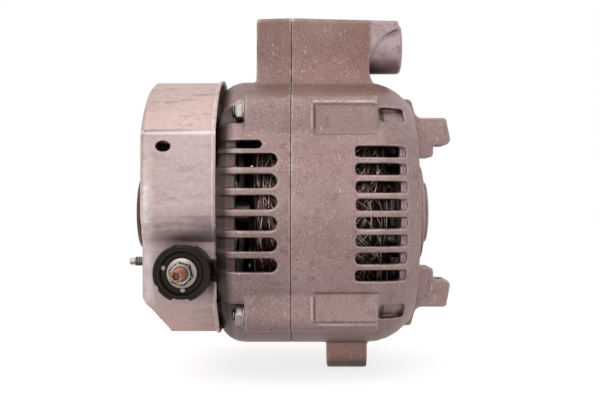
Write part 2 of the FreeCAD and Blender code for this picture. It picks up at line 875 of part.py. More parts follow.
def rear_screw_holes():
    """Blind holes for the cover studs, the rectifier screws and the regulator screws."""
    holes = []
    post_end = -rear_frame_length - cover_post_height
    for angle in cover_stud_angles:
        y, z = at_angle(cover_stud_circle, angle)
        holes.append(rod(post_end - free_gap, post_end + cover_stud_grip,
                         cover_stud_radius + slide_gap, y, z))
    for angle in rectifier_screw_angles:
        y, z = at_angle(diode_circle, angle)
        holes.append(rod(-rear_frame_length - free_gap, rectifier_screw_grip - rear_frame_length,
                         rectifier_screw_radius + slide_gap, y, z))
    for y, z in regulator_screw_places():
        holes.append(rod(-regulator_place - free_gap, rectifier_screw_grip - rear_frame_length,
                         rectifier_screw_radius + slide_gap, y, z))
    return holes


def regulator_screw_places():
    return [at_angle(regulator_screw_circle, angle) for angle in regulator_screw_angles]


def frame_studs():
    """Through studs that clamp the two frames, blind in the drive frame."""
    start = -stud_boss_rear - nut_height - stud_tip
    return [rod(start, stud_grip, stud_radius, y, z) for y, z in frame_corners()]


def flange_nut(flats, height, flange_radius, flange_height, bore, start, direction):
    """Hexagon nut with a round flange, from its seat along direction."""
    nut = hexagon(flats, start, direction * height)
    flange = Part.makeCylinder(flange_radius, flange_height, start, direction)
    return nut.fuse(flange).cut(Part.makeCylinder(bore, height, start, direction))


def frame_nuts():
    return [flange_nut(nut_flats, nut_height, nut_flange_radius, nut_flange_height,
                       stud_radius + slide_gap, vec(-stud_boss_rear, y, z), vec(-1, 0, 0))
            for y, z in frame_corners()]


def stator_core():
    """Laminated ring with its slots open to the bore."""
    ring = tube(-core_depth_rear, core_depth_drive, core_radius, stator_bore_radius)
    floor = stator_bore_radius + stator_slot_depth
    lip = stator_bore_radius + stator_tooth_lip
    half = stator_slot_width / 2
    mouth = stator_slot_mouth / 2
    bore = stator_bore_radius - free_gap
    corners = [(bore, -mouth, 0), (lip - half + mouth, -mouth, 0), (lip, -half, 0), (floor, -half, 0),
               (floor, half, 0), (lip, half, 0), (lip - half + mouth, mouth, 0), (bore, mouth, 0)]
    slot = plate(corners, in_end_view, vec(core_length, 0, 0), vec(-core_depth_rear, 0, 0))
    return ring.cut(around(slot, stator_slot_count))


def stator_winding():
    """Winding: the coil sides that fill the slots and the end turns on both sides of the core."""
    outer = cavity_radius - winding_gap
    inner = outer - winding_thickness
    pieces = []
    for near, far in ((core_depth_drive + free_gap, core_depth_drive + winding_reach_drive),
                      (-core_depth_rear - free_gap, -core_depth_rear - winding_reach_rear)):
        bevel = math.copysign(winding_bevel, far)
        pieces.append(revolve([(near, inner), (far - bevel, inner), (far, inner + winding_bevel),
                               (far, outer - winding_bevel), (far - bevel, outer), (near, outer)]))
    half = stator_slot_width / 2 - free_gap
    low = stator_bore_radius + stator_tooth_lip + free_gap
    high = stator_bore_radius + stator_slot_depth - free_gap
    start = -core_depth_rear - winding_reach_rear / 2
    side = box(start, core_depth_drive + winding_reach_drive / 2, low, high, -half, half)
    return fuse(pieces + around(side, stator_slot_count))


def stator_leads():
    """Phase leads from the rear end turns through the air inlets to the terminal ring."""
    start = -core_depth_rear - winding_reach_rear
    end = -terminal_ring_place - terminal_ring_thickness / 2
    leads = []
    for angle in lead_angles:
        straight = rod(end - lead_radius, start, lead_radius, lead_circle, 0)
        inward = Part.makeCylinder(lead_radius, lead_circle - terminal_ring_outer,
                                   vec(end, terminal_ring_outer, 0), vec(0, 1, 0))
        leads.append(turned(straight.fuse(inward), angle))
    return leads


def shaft():
    """Stepped shaft with a keyed socket in its drive end."""
    collar_place = pole_front + fan_plate
    body = revolve([(-shaft_rear_end, 0), (-shaft_rear_end, ring_seat_radius),
                    (-ring_seat_start, ring_seat_radius), (-ring_seat_start, rear_bearing_bore),
                    (-rear_bearing_place, rear_bearing_bore), (-rear_bearing_place, shaft_radius),
                    (collar_place, shaft_radius), (collar_place, drive_bearing_bore),
                    (shaft_drive_end, drive_bearing_bore), (shaft_drive_end, 0)])
    start = shaft_drive_end - socket_depth
    bore = rod(start, shaft_drive_end, socket_radius)
    key = box(start, shaft_drive_end, -key_width / 2, key_width / 2, 0, socket_radius + key_depth)
    return body.cut([bore, key])


def drive_pole_core():
    """Claw pole core: hub half, end plate and tapered fingers that reach over the coil."""
    plate_face = pole_front - pole_plate
    tip = pole_rear + finger_end_gap
    root = rotor_radius - finger_root_depth
    ring = revolve([(pole_front, pole_hub_radius), (pole_front, rotor_radius - finger_chamfer),
                    (pole_front - finger_chamfer, rotor_radius),
                    (tip, rotor_radius), (tip, rotor_radius - finger_tip_depth), (plate_face, root),
                    (plate_face, pole_hub_radius)])
    half_root = finger_root_width / 2
    half_tip = finger_tip_width / 2
    top = rotor_radius + free_gap
    corners = [(pole_front, -half_root, 0), (pole_front, half_root, 0),
               (tip, half_tip, finger_tip_round), (tip, -half_tip, finger_tip_round)]
    prism = plate(corners, in_top_view, vec(0, 0, top - pole_hub_radius), vec(0, 0, pole_hub_radius))
    finger = ring.common(prism)
    disc = rod(plate_face, pole_front, rotor_radius - plate_notch_depth)
    hub = rod(core_middle, pole_front, pole_hub_radius)
    core = fuse([disc, hub] + around(finger, pole_pairs))
    return core.cut(rod(core_middle, pole_front, shaft_radius + press_gap))


def rear_pole_core():
    """The drive pole core seen in a mirror at mid length, turned by half a finger pitch."""
    other = drive_pole_core().mirror(vec(core_middle, 0, 0), X_AXIS)
    return turned(other, 180 / pole_pairs)


def field_bobbin():
    """Moulded bobbin between the pole plates."""
    start = pole_rear + pole_plate + slide_gap
    end = pole_front - pole_plate - slide_gap
    inner = pole_hub_radius + slide_gap
    core = inner + bobbin_wall
    return revolve([(start, inner), (end, inner), (end, bobbin_radius), (end - bobbin_wall, bobbin_radius),
                    (end - bobbin_wall, core), (start + bobbin_wall, core),
                    (start + bobbin_wall, bobbin_radius), (start, bobbin_radius)])


def field_coil():
    inner = pole_hub_radius + bobbin_wall + 2 * slide_gap
    start = pole_rear + pole_plate + bobbin_wall + 2 * slide_gap
    end = pole_front - pole_plate - bobbin_wall - 2 * slide_gap
    return tube(start, end, bobbin_radius - bobbin_wall, inner)


def fan(blades, height):
    """Pressed fan with curved blades, its plate at x = 0 and the blades towards +X."""
    sweep = math.degrees(fan_blade_thickness / fan_blade_inner)
    middle = (fan_blade_inner + fan_radius) / 2
    steps = [at_angle(fan_blade_inner, 0),
             at_angle(middle, fan_blade_middle_lean) + at_angle(fan_radius, fan_blade_lean),
             at_angle(fan_radius, fan_blade_lean + sweep),
             at_angle(middle, fan_blade_middle_lean + sweep) + at_angle(fan_blade_inner, sweep)]
    blade = outline(steps, in_end_view).extrude(vec(height, 0, 0))
    disc = rod(0, fan_plate, fan_radius)
    return fuse([disc] + around(blade, blades)).cut(rod(0, fan_plate, shaft_radius + press_gap))


def drive_fan():
    wheel = fan(drive_fan_blades, drive_fan_height)
    wheel.translate(vec(pole_front, 0, 0))
    return wheel


def rear_fan():
    wheel = fan(rear_fan_blades, rear_fan_height).mirror(ORIGIN, X_AXIS)
    wheel.translate(vec(pole_rear, 0, 0))
    return wheel


def spacer_collar():
    return tube(pole_front + fan_plate, drive_bearing_place, collar_radius, drive_bearing_bore + press_gap)


def outer_ring(place, width, bore, radius):
    """Outer bearing ring, with a rebate at each side for its seal."""
    thickness = bearing_ring_share * (radius - bore)
    ring = tube(place, place + width, radius, radius - thickness)
    rebate = radius - thickness / 2
    return ring.cut([rod(place, place + seal_depth, rebate),
                     rod(place + width - seal_depth, place + width, rebate)])


def inner_ring(place, width, bore, radius):
    thickness = bearing_ring_share * (radius - bore)
    return tube(place, place + width, bore + thickness, bore + press_gap)


def bearing_seals(place, width, bore, radius):
    """The two seals, held by the outer ring and just clear of the inner ring."""
    thickness = bearing_ring_share * (radius - bore)
    outer = radius - thickness / 2 - press_gap
    inner = bore + thickness + seal_gap
    depth = seal_depth - slide_gap
    return [tube(place + slide_gap, place + depth, outer, inner),
            tube(place + width - depth, place + width - slide_gap, outer, inner)]


def drive_bearing():
    return drive_bearing_place, drive_bearing_width, drive_bearing_bore, drive_bearing_radius


def rear_bearing():
    place = -rear_bearing_place - rear_bearing_width
    return place, rear_bearing_width, rear_bearing_bore, rear_bearing_radius


def bearing_retainer():
    """Three cornered plate that holds the drive bearing in its seat."""
    start = drive_bearing_place - retainer_thickness
    centre = rod(start, drive_bearing_place, drive_bearing_radius + bearing_lip)
    pads = [rod(start, drive_bearing_place, retainer_lug_radius, y, z) for y, z in retainer_places()]
    holes = [rod(start, drive_bearing_place, retainer_screw_radius + slide_gap, y, z)
             for y, z in retainer_places()]
    return fuse([centre] + pads).cut([rod(start, drive_bearing_place, collar_radius + retainer_gap)] + holes)


def retainer_screws():
    seat = drive_bearing_place - retainer_thickness
    end = drive_frame_length - end_wall / 2 - free_gap
    screws = []
    for y, z in retainer_places():
        head = rod(seat - retainer_screw_radius, seat, retainer_screw_head, y, z)
        screws.append(head.fuse(rod(seat, end, retainer_screw_radius, y, z)))
    return screws


def slip_ring_sleeve():
    """Insulating sleeve on the shaft with a collar beside each ring."""
    first = inner_ring_place + ring_width / 2
    second = first + ring_spacing
    low = ring_seat_radius + press_gap
    collar = (sleeve_radius + ring_radius) / 2
    gap = ring_spacing - ring_width
    start = first - ring_width - gap
    end = second + gap
    return revolve([(-start, low), (-start, collar), (ring_width - first, collar),
                    (ring_width - first, sleeve_radius), (-first, sleeve_radius), (-first, collar),
                    (ring_width - second, collar), (ring_width - second, sleeve_radius),
                    (-second, sleeve_radius), (-second, collar), (-end, collar), (-end, low)])


def slip_ring(place):
    return tube(-place - ring_width / 2, ring_width / 2 - place, ring_radius, sleeve_radius + press_gap)


def cover_outline(inset):
    """End view of the pressed cover: round, with its near side flattened and set back at the terminal."""
    top = (-cover_crease_y, cover_crease_z)
    bottom = (math.sqrt(cover_radius ** 2 - cover_bottom ** 2), -cover_bottom)
    corners = [(*top, 0), (*bottom, 0), (-cover_recess_y, -cover_bottom, cover_fold_radius),
               (-cover_recess_y, cover_recess_top, cover_bend_radius),
               (-cover_flat_y, cover_flat_z, cover_bend_radius)]
    steps = rounded(corners)
    steps[1] = (*at_angle(cover_radius, 45), *bottom)
    face = outline(steps, in_end_view)
    if inset == 0:
        return face
    return Part.Face(face.OuterWire.makeOffset2D(-inset))


def cover_block(inset):
    """Solid inside of the cover's skin, inset from its outside by some distance."""
    face = cover_outline(inset)
    front = cover_front if inset == 0 else cover_front + free_gap
    rear = cover_rear + inset
    face.translate(vec(rear, 0, 0))
    block = face.extrude(vec(front - rear, 0, 0))
    rim = [edge for edge in block.Edges if edge.BoundBox.XMax < rear + slide_gap]
    block = block.makeChamfer(cover_edge_bevel, rim)
    past = rear - free_gap
    under = -cover_bottom - free_gap
    end = rear + cover_bevel_run
    wedge = outline([(past, cover_bevel_z + inset), (rear, cover_bevel_z + inset),
                     (end, inset - cover_bottom), (end, under), (past, under)], in_side_view)
    wedge.translate(vec(0, -body_radius, 0))
    return block.cut(wedge.extrude(vec(0, 2 * body_radius, 0)))


def cover_stud_places():
    return [at_angle(cover_stud_circle, angle) for angle in cover_stud_angles]


def rear_cover():
    """Pressed steel cover with its recessed stud seats, air slots and terminal openings."""
    outside = cover_block(0)
    inside = cover_block(cover_sheet)
    floor = cover_rear + cover_dimple_depth
    past = cover_rear - free_gap
    for y, z in cover_stud_places():
        outside = outside.cut(rod(past, floor, cover_dimple_radius, y, z))
        inside = inside.cut(rod(cover_rear, floor + cover_sheet, cover_dimple_radius + cover_sheet, y, z))
    lip = Part.Face(cover_outline(0).OuterWire.makeOffset2D(cover_lip))
    lip.translate(vec(cover_front - cover_sheet, 0, 0))
    shell = outside.fuse(lip.extrude(vec(cover_sheet, 0, 0))).cut(inside)
    through = 2 * cover_sheet
    cutters = [rod(past, cover_rear + through, drum_radius + free_gap)]
    cutters += [rod(floor - free_gap, floor + through, cover_stud_radius + hole_gap, *place)
                for place in cover_stud_places()]
    cutters.append(across(-body_radius, through - cover_recess_y, insulator_neck_radius + slide_gap))
    oval = Part.Ellipse(ORIGIN, cover_hole_half_length, cover_hole_half_height)
    oval.Axis = vec(0, 1, 0)
    hole = Part.Face(Part.Wire(oval.toShape()))
    hole.translate(vec(-cover_hole_place, -body_radius, cover_hole_z))
    cutters.append(hole.extrude(vec(0, body_radius - cover_crease_y + through, 0)))
    cutters.append(box(cover_front - cover_notch_depth, cover_front + free_gap,
                       -cover_recess_y - cover_lip - free_gap, through - cover_recess_y,
                       terminal_z - cover_notch_height / 2, terminal_z + cover_notch_height / 2))
    cutters.append(rod(past, cover_rear + through, lamp_neck_radius + slide_gap, lamp_y, lamp_z))
    half = vent_width / 2
    vent = plate([(side, circle, vent_round) for side, circle in (
        (-half, vent_inner), (half, vent_inner), (half, vent_outer), (-half, vent_outer))],
        in_end_view, vec(through, 0, 0), vec(past, 0, 0))
    lamp_angle = math.degrees(math.atan2(lamp_z, lamp_y))
    cutters += around(vent, vent_count, lamp_angle - 90 + 180 / vent_count)
    return shell.cut(cutters).removeSplitter()


def cover_studs():
    start = cover_rear + free_gap
    end = -rear_frame_length - cover_post_height + cover_stud_grip - free_gap
    return [rod(start, end, cover_stud_radius, y, z) for y, z in cover_stud_places()]


def cover_nuts():
    seat = cover_rear + cover_dimple_depth
    nuts = []
    for y, z in cover_stud_places():
        nut = hexagon(cover_nut_flats, vec(seat, y, z), vec(-cover_nut_height, 0, 0))
        nuts.append(nut.cut(rod(seat - cover_nut_height, seat, cover_stud_radius + slide_gap, y, z)))
    return nuts


def cover_spacers():
    """Sleeves on the cover studs that the cover's recessed seats rest on."""
    start = cover_rear + cover_dimple_depth + cover_sheet
    end = -rear_frame_length - cover_post_height
    return [tube(start, end, cover_spacer_radius, cover_stud_radius + hole_gap, y, z)
            for y, z in cover_stud_places()]


def slip_ring_cover():
    """Moulded cap over the slip rings, with its flange inside the cover."""
    seat = cover_rear + cover_sheet
    end = cover_rear - drum_length
    flange_end = seat + cover_sheet
    inner = drum_radius - drum_wall
    outer = [(end, 0), (end, drum_radius - drum_edge_bevel),
             (end + drum_edge_bevel, drum_radius),
             (seat, drum_radius), (seat, drum_radius + drum_flange), (flange_end, drum_radius + drum_flange),
             (flange_end, inner), (end + drum_wall, inner), (end + drum_wall, 0)]
    return revolve(outer)


def heat_sink(start, lead_angles_through, cup_angles):
    """Horseshoe plate from start towards the drive end, with holes for leads and pressed diodes."""
    middle = (sink_from + sink_to) / 2
    steps = [at_angle(sink_inner, sink_from), at_angle(sink_inner, middle) + at_angle(sink_inner, sink_to),
             at_angle(sink_outer, sink_to), at_angle(sink_outer, middle) + at_angle(sink_outer, sink_from)]
    face = outline(steps, in_end_view)
    face.translate(vec(start, 0, 0))
    sink = face.extrude(vec(sink_thickness, 0, 0))
    end = start + sink_thickness
    holes = [rod(start, end, sink_lead_hole, *at_angle(diode_circle, angle))
             for angle in lead_angles_through]
    holes += [rod(start, end, diode_radius + press_gap, *at_angle(diode_circle, angle))
              for angle in cup_angles]
    holes += [rod(start, end, rectifier_screw_radius + hole_gap, *at_angle(diode_circle, angle))
              for angle in rectifier_screw_angles]
    return sink.cut(holes)


def negative_sink_start():
    return -rear_frame_length - sink_thickness


def positive_sink_start():
    return negative_sink_start() - sink_spacing - sink_thickness


def negative_heat_sink():
    return heat_sink(negative_sink_start(), (), negative_diode_angles)


def positive_heat_sink():
    return heat_sink(positive_sink_start(), negative_diode_angles, positive_diode_angles)


def diodes(front, angles):
    """Press-in diodes: a cup whose front is at the plate's front, a seal and a lead to the rear."""
    end = -terminal_ring_place - terminal_ring_thickness
    shapes = []
    for angle in angles:
        cup = revolve([(front, 0), (front, diode_radius), (front - diode_height, diode_radius),
                       (front - diode_height - diode_lead_radius, diode_radius / 2),
                       (front - diode_height - diode_lead_radius, diode_lead_radius),
                       (end, diode_lead_radius), (end, 0)])
        cup.translate(vec(0, *at_angle(diode_circle, angle)))
        shapes.append(cup)
    return shapes


def negative_diodes():
    return diodes(negative_sink_start() + sink_thickness - free_gap, negative_diode_angles)


def positive_diodes():
    return diodes(positive_sink_start() + sink_thickness, positive_diode_angles)


def rectifier_terminal_ring():
    """Moulded ring over the diode leads, carrying the phase and terminal joints."""
    start = -terminal_ring_place - terminal_ring_thickness
    first = rectifier_screw_angles[0] - terminal_ring_overhang
    last = rectifier_screw_angles[1] + terminal_ring_overhang
    middle = (first + last) / 2
    steps = [at_angle(terminal_ring_inner, first),
             at_angle(terminal_ring_inner, middle) + at_angle(terminal_ring_inner, last),
             at_angle(terminal_ring_outer, last),
             at_angle(terminal_ring_outer, middle) + at_angle(terminal_ring_outer, first)]
    face = outline(steps, in_end_view)
    face.translate(vec(start, 0, 0))
    ring = face.extrude(vec(terminal_ring_thickness, 0, 0))
    end = start + terminal_ring_thickness
    holes = [rod(start, end, diode_lead_radius + slide_gap, *at_angle(diode_circle, angle))
             for angle in negative_diode_angles + positive_diode_angles]
    holes += [rod(start, end, rectifier_screw_radius + hole_gap, *at_angle(diode_circle, angle))
              for angle in rectifier_screw_angles]
    return ring.cut(holes)


def rectifier_spacers():
    """Insulating sleeves that stack the plates and the terminal ring on the rectifier screws."""
    shapes = []
    for angle in rectifier_screw_angles:
        y, z = at_angle(diode_circle, angle)
        for start, end in ((positive_sink_start() + sink_thickness, negative_sink_start()),
                           (-terminal_ring_place, positive_sink_start())):
            shapes.append(tube(start, end, rectifier_spacer_radius, rectifier_screw_radius + hole_gap, y, z))
    return shapes


def cap_screw(seat, end, y, z):
    """Small screw along X with its head on the rear side of seat."""
    head = rod(seat - rectifier_head_height, seat, rectifier_head_radius, y, z)
    return head.fuse(rod(seat, end, rectifier_screw_radius, y, z))


def rectifier_screws():
    seat = -terminal_ring_place - terminal_ring_thickness
    end = rectifier_screw_grip - rear_frame_length - free_gap
    return [cap_screw(seat, end, *at_angle(diode_circle, angle)) for angle in rectifier_screw_angles]


def regulator_rear():
    return -regulator_place - regulator_depth


def regulator_body():
    body = box(regulator_rear(), -regulator_place, -regulator_half_width, regulator_half_width,
               regulator_low, regulator_high)
    body = body.makeFillet(regulator_round, along(body, X_AXIS))
    return body.cut([rod(regulator_rear(), -regulator_place, rectifier_screw_radius + hole_gap, y, z)
                     for y, z in regulator_screw_places()])


def regulator_heat_sink():
    """Finned plate on top of the regulator."""
    base = box(regulator_rear(), -regulator_place, -regulator_half_width, regulator_half_width,
               regulator_high, regulator_high + regulator_plate)
    fins = []
    for index in range(-regulator_fin_count, regulator_fin_count + 1):
        y = index * regulator_fin_pitch
        fins.append(box(regulator_rear(), -regulator_place, y - regulator_fin_thickness / 2,
                        y + regulator_fin_thickness / 2, regulator_high + regulator_plate,
                        regulator_high + regulator_plate + regulator_fin_height))
    return fuse([base] + fins)


def regulator_screws():
    seat = regulator_rear() - brush_flange
    end = rectifier_screw_grip - rear_frame_length - free_gap
    return [cap_screw(seat, end, y, z) for y, z in regulator_screw_places()]


def brush_places():
    return -inner_ring_place, -inner_ring_place - ring_spacing


def brush_holder():
    """Moulded holder with a channel for each brush, and a flange on the regulator."""
    front = regulator_rear() - brush_flange
    half = brush_depth / 2 + brush_gap + brush_holder_wall
    rear = brush_places()[1] - brush_width / 2 - brush_gap - brush_holder_wall / 2
    block = box(rear, front, -half, half, brush_holder_low, brush_holder_high)
    flange_half = regulator_half_width - brush_flange_inset
    flange = box(front, regulator_rear(), -flange_half, flange_half, regulator_low + brush_holder_wall,
                 regulator_high - brush_holder_wall)
    channels = []
    for place in brush_places():
        channels.append(box(place - brush_width / 2 - brush_gap, place + brush_width / 2 + brush_gap,
                            -brush_depth / 2 - brush_gap, brush_depth / 2 + brush_gap,
                            brush_holder_low - free_gap, brush_holder_high - brush_holder_wall))
    holes = [rod(front, regulator_rear(), rectifier_screw_radius + hole_gap, y, z)
             for y, z in regulator_screw_places()]
    return block.fuse(flange).cut(channels + holes)


def brush(place):
    """Carbon brush whose lower end is hollowed to the slip ring."""
    low = ring_radius - brush_gap
    block = box(place - brush_width / 2, place + brush_width / 2, -brush_depth / 2, brush_depth / 2,
                low, ring_radius + brush_gap + brush_length)
    return block.cut(rod(place - brush_width, place + brush_width, ring_radius + brush_gap))


def brush_spring(place):
    """Coil spring of square wire between a brush and the roof of its channel."""
    low = ring_radius + brush_gap + brush_length
    height = brush_holder_high - brush_holder_wall - low - spring_wire - 2 * slide_gap
    helix = Part.makeHelix(height / spring_turns, height, spring_radius)
    half = spring_wire / 2
    corners = [vec(spring_radius + a * half, 0, b * half)
               for a, b in ((-1, -1), (1, -1), (1, 1), (-1, 1), (-1, -1))]
    coil = Part.Wire(helix.Edges).makePipeShell([Part.makePolygon(corners)], True, True)
    coil.translate(vec(place, 0, low + half + slide_gap))
    return coil


def insulator_places():
    """The terminal's stations along -Y: cover face, moulded floor, rim and inner end of the neck."""
    rim = -insulator_rim_y
    return -cover_recess_y, rim + insulator_floor, rim, -cover_recess_y + 2 * strap_thickness


def across(start, end, radius):
    """Cylinder along the battery terminal's axis between two places on Y."""
    return Part.makeCylinder(radius, end - start, vec(-terminal_place, start, terminal_z), vec(0, 1, 0))


def terminal_insulator():
    """Round moulding through the cover, with a raised rim and one flat at its foot."""
    face, floor, rim, inner = insulator_places()
    body = across(rim, face, insulator_radius)
    past = rim - free_gap
    low = terminal_z - insulator_radius
    flat = box(-terminal_place - insulator_radius, insulator_radius - terminal_place, past, face,
               low - free_gap, low + insulator_flat)
    body = body.cut([flat, across(past, floor, insulator_radius - insulator_ring)])
    body = body.fuse(across(face, inner, insulator_neck_radius))
    return body.cut(across(past, inner, battery_thread_radius + hole_gap))


def battery_stud():
    """Hexagon-headed stud: a thread for its nut, a neck, and a smaller free end for the cable eye."""
    inner = insulator_places()[3] + strap_thickness
    thread_end = insulator_places()[1] - battery_nut_height
    neck_end = thread_end - battery_neck_length
    stud = across(-battery_stud_end, neck_end, battery_stud_radius)
    point = [edge for edge in stud.Edges if edge.BoundBox.YMax < slide_gap - battery_stud_end]
    stud = stud.makeChamfer(battery_point_chamfer, point)
    seat = vec(-terminal_place, inner, terminal_z)
    head = hexagon(battery_head_flats, seat, vec(0, battery_head_height, 0))
    return fuse([stud, across(neck_end, thread_end, battery_neck_radius),
                 across(thread_end, inner, battery_thread_radius), head])


def battery_nut():
    seat = vec(-terminal_place, insulator_places()[1], terminal_z)
    return flange_nut(battery_nut_flats, battery_nut_height, battery_flange_radius, battery_flange_height,
                      battery_thread_radius + slide_gap, seat, vec(0, -1, 0))


def battery_strap():
    """Bent strap that joins the positive plate to the battery stud."""
    inner = insulator_places()[3]
    seat = positive_sink_start() + sink_thickness
    end = seat + strap_thickness
    low = terminal_z - strap_width / 2
    high = terminal_z + strap_width / 2
    rear = -terminal_place - strap_width / 2
    leg = box(rear, end, inner, inner + strap_thickness, low, high)
    foot = box(seat, end, inner, inner + strap_foot, low, high)
    stud_hole = across(inner, inner + strap_thickness, battery_thread_radius + slide_gap)
    return leg.fuse(foot).removeSplitter().cut(stud_hole)


def lamp_terminal():
    """Small threaded terminal with a turned-down point, its shank and head moulded into the bush."""
    seat = cover_rear + 2 * cover_sheet
    tip = cover_rear - lamp_length
    thread_end = cover_rear - free_gap
    profile = revolve([(tip, 0), (tip, lamp_point_radius), (tip + lamp_point_length, lamp_point_radius),
                       (tip + lamp_point_length, lamp_radius), (thread_end, lamp_radius),
                       (thread_end, lamp_shank_radius), (seat, lamp_shank_radius), (seat, lamp_head_radius),
                       (seat + lamp_head_height, lamp_head_radius), (seat + lamp_head_height, 0)])
    profile.translate(vec(0, lamp_y, lamp_z))
    return profile


def lamp_terminal_bush():
    """Insulating bush of the small terminal, its flange against the inside of the cover."""
    seat = cover_rear + cover_sheet
    bush = rod(cover_rear, seat, lamp_neck_radius, lamp_y, lamp_z)
    bush = bush.fuse(rod(seat, seat + cover_sheet, lamp_bush_radius, lamp_y, lamp_z))
    return bush.cut(rod(cover_rear, seat + cover_sheet, lamp_shank_radius + slide_gap, lamp_y, lamp_z))


def write(name, shape):
    """Moves a piece, or the solids of a group, to the part's origin and writes its STEP file."""
    solid = Part.makeCompound(shape) if isinstance(shape, list) else shape
    solid = solid.copy()
    solid.translate(vec(origin_shift, 0, 0))
    if len(solid.Solids) == 1:
        solid = solid.Solids[0]
    if not solid.isValid():
        raise ValueError(name + " is not a valid solid")
    solid.exportStep("parts/" + name + ".step")
    print(name, len(solid.Solids), round(solid.Volume, 1))


def main():
    os.makedirs("parts", exist_ok=True)
    write("drive_end_frame", drive_end_frame())
    write("rear_end_frame", rear_end_frame())
    write("frame_studs", frame_studs())
    write("frame_nuts", frame_nuts())
    write("stator_core", stator_core())
    write("stator_winding", stator_winding())
    write("stator_leads", stator_leads())
    write("shaft", shaft())
    write("drive_pole_core", drive_pole_core())
    write("rear_pole_core", rear_pole_core())
    write("field_bobbin", field_bobbin())
    write("field_coil", field_coil())
    write("drive_fan", drive_fan())
    write("rear_fan", rear_fan())
    write("spacer_collar", spacer_collar())
    write("drive_bearing_outer_ring", outer_ring(*drive_bearing()))
    write("drive_bearing_inner_ring", inner_ring(*drive_bearing()))
    write("drive_bearing_seals", bearing_seals(*drive_bearing()))
    write("rear_bearing_outer_ring", outer_ring(*rear_bearing()))
    write("rear_bearing_inner_ring", inner_ring(*rear_bearing()))
    write("rear_bearing_seals", bearing_seals(*rear_bearing()))
    write("bearing_retainer", bearing_retainer())
    write("retainer_screws", retainer_screws())
    write("slip_ring_sleeve", slip_ring_sleeve())
    write("inner_slip_ring", slip_ring(inner_ring_place))
    write("outer_slip_ring", slip_ring(inner_ring_place + ring_spacing))
    write("rear_cover", rear_cover())
    write("cover_studs", cover_studs())
    write("cover_nuts", cover_nuts())
    write("cover_spacers", cover_spacers())
    write("slip_ring_cover", slip_ring_cover())
    write("negative_heat_sink", negative_heat_sink())
    write("positive_heat_sink", positive_heat_sink())
    write("negative_diodes", negative_diodes())
    write("positive_diodes", positive_diodes())
    write("rectifier_terminal_ring", rectifier_terminal_ring())
    write("rectifier_spacers", rectifier_spacers())
    write("rectifier_screws", rectifier_screws())
    write("regulator_body", regulator_body())
    write("regulator_heat_sink", regulator_heat_sink())
    write("regulator_screws", regulator_screws())
    write("brush_holder", brush_holder())
    write("inner_brush", brush(brush_places()[0]))
    write("outer_brush", brush(brush_places()[1]))
    write("inner_brush_spring", brush_spring(brush_places()[0]))
    write("outer_brush_spring", brush_spring(brush_places()[1]))
    write("terminal_insulator", terminal_insulator())
    write("battery_stud", battery_stud())
    write("battery_nut", battery_nut())
    write("battery_strap", battery_strap())
    write("lamp_terminal", lamp_terminal())
    write("lamp_terminal_bush", lamp_terminal_bush())


main()
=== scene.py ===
import json
import logging
import math
import random
from dataclasses import dataclass, field
from enum import Enum
from typing import Any, Callable, Sequence

import bmesh
import bpy
from mathutils import Matrix, Quaternion, Vector
from mathutils.bvhtree import BVHTree


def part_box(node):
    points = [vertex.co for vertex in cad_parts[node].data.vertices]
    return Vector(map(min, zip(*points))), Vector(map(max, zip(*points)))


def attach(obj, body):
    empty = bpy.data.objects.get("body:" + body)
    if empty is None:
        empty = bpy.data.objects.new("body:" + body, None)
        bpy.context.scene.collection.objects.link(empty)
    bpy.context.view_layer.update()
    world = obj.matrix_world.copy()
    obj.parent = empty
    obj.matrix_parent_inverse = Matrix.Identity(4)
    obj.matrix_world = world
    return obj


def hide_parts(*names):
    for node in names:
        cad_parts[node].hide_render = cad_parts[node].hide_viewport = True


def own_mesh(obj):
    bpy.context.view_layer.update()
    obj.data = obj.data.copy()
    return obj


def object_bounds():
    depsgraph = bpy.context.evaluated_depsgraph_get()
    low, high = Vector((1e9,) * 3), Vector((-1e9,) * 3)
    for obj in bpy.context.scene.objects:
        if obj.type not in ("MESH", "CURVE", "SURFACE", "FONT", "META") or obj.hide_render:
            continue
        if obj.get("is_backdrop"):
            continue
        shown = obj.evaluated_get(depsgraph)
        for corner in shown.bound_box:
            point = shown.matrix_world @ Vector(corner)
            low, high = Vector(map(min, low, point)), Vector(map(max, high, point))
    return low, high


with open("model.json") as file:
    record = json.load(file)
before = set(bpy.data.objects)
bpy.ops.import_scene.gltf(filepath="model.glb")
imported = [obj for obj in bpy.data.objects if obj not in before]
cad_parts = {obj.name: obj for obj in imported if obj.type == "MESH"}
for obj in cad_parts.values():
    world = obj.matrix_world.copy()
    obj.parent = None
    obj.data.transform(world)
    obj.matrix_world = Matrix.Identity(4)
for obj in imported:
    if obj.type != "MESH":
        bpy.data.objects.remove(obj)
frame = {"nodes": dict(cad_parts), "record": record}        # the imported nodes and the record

# Dressed model of a vehicle alternator. Metres, in the frame of the solid parts: the shaft lies
# along X with the drive end at +X, +Z is up, and the origin is at the mouth of the drive socket.

LOG = logging.getLogger("alternator")
MM = 0.001
PARTING = -68.5 * MM
Colour = Point = tuple[float, float, float]
Pair = tuple[float, float]
Profile = list[Pair]
Ranges = Sequence[tuple[str, float, float]]
Shape = bmesh.types.BMesh
Socket = bpy.types.NodeSocket
Inputs = dict[str | int, Socket | float | Sequence[float]]
Y_AXIS = Vector((0.0, 1.0, 0.0))
Z_AXIS = Vector((0.0, 0.0, 1.0))


class Slot(Enum):
    """Material slots of the record that pieces take their finish from."""

    CASTING = "cast_aluminium"
    SHEET = "sheet_steel"
    ZINC = "zinc_steel"
    SHAFT = "shaft_steel"
    CORE = "core_steel"
    WIRE = "copper_wire"
    COPPER = "copper_bar"
    BEARING = "bearing_steel"
    SEAL = "seal_rubber"
    BLACK = "black_moulding"
    BROWN = "brown_moulding"
    SINK = "sink_aluminium"
    CARBON = "brush_carbon"


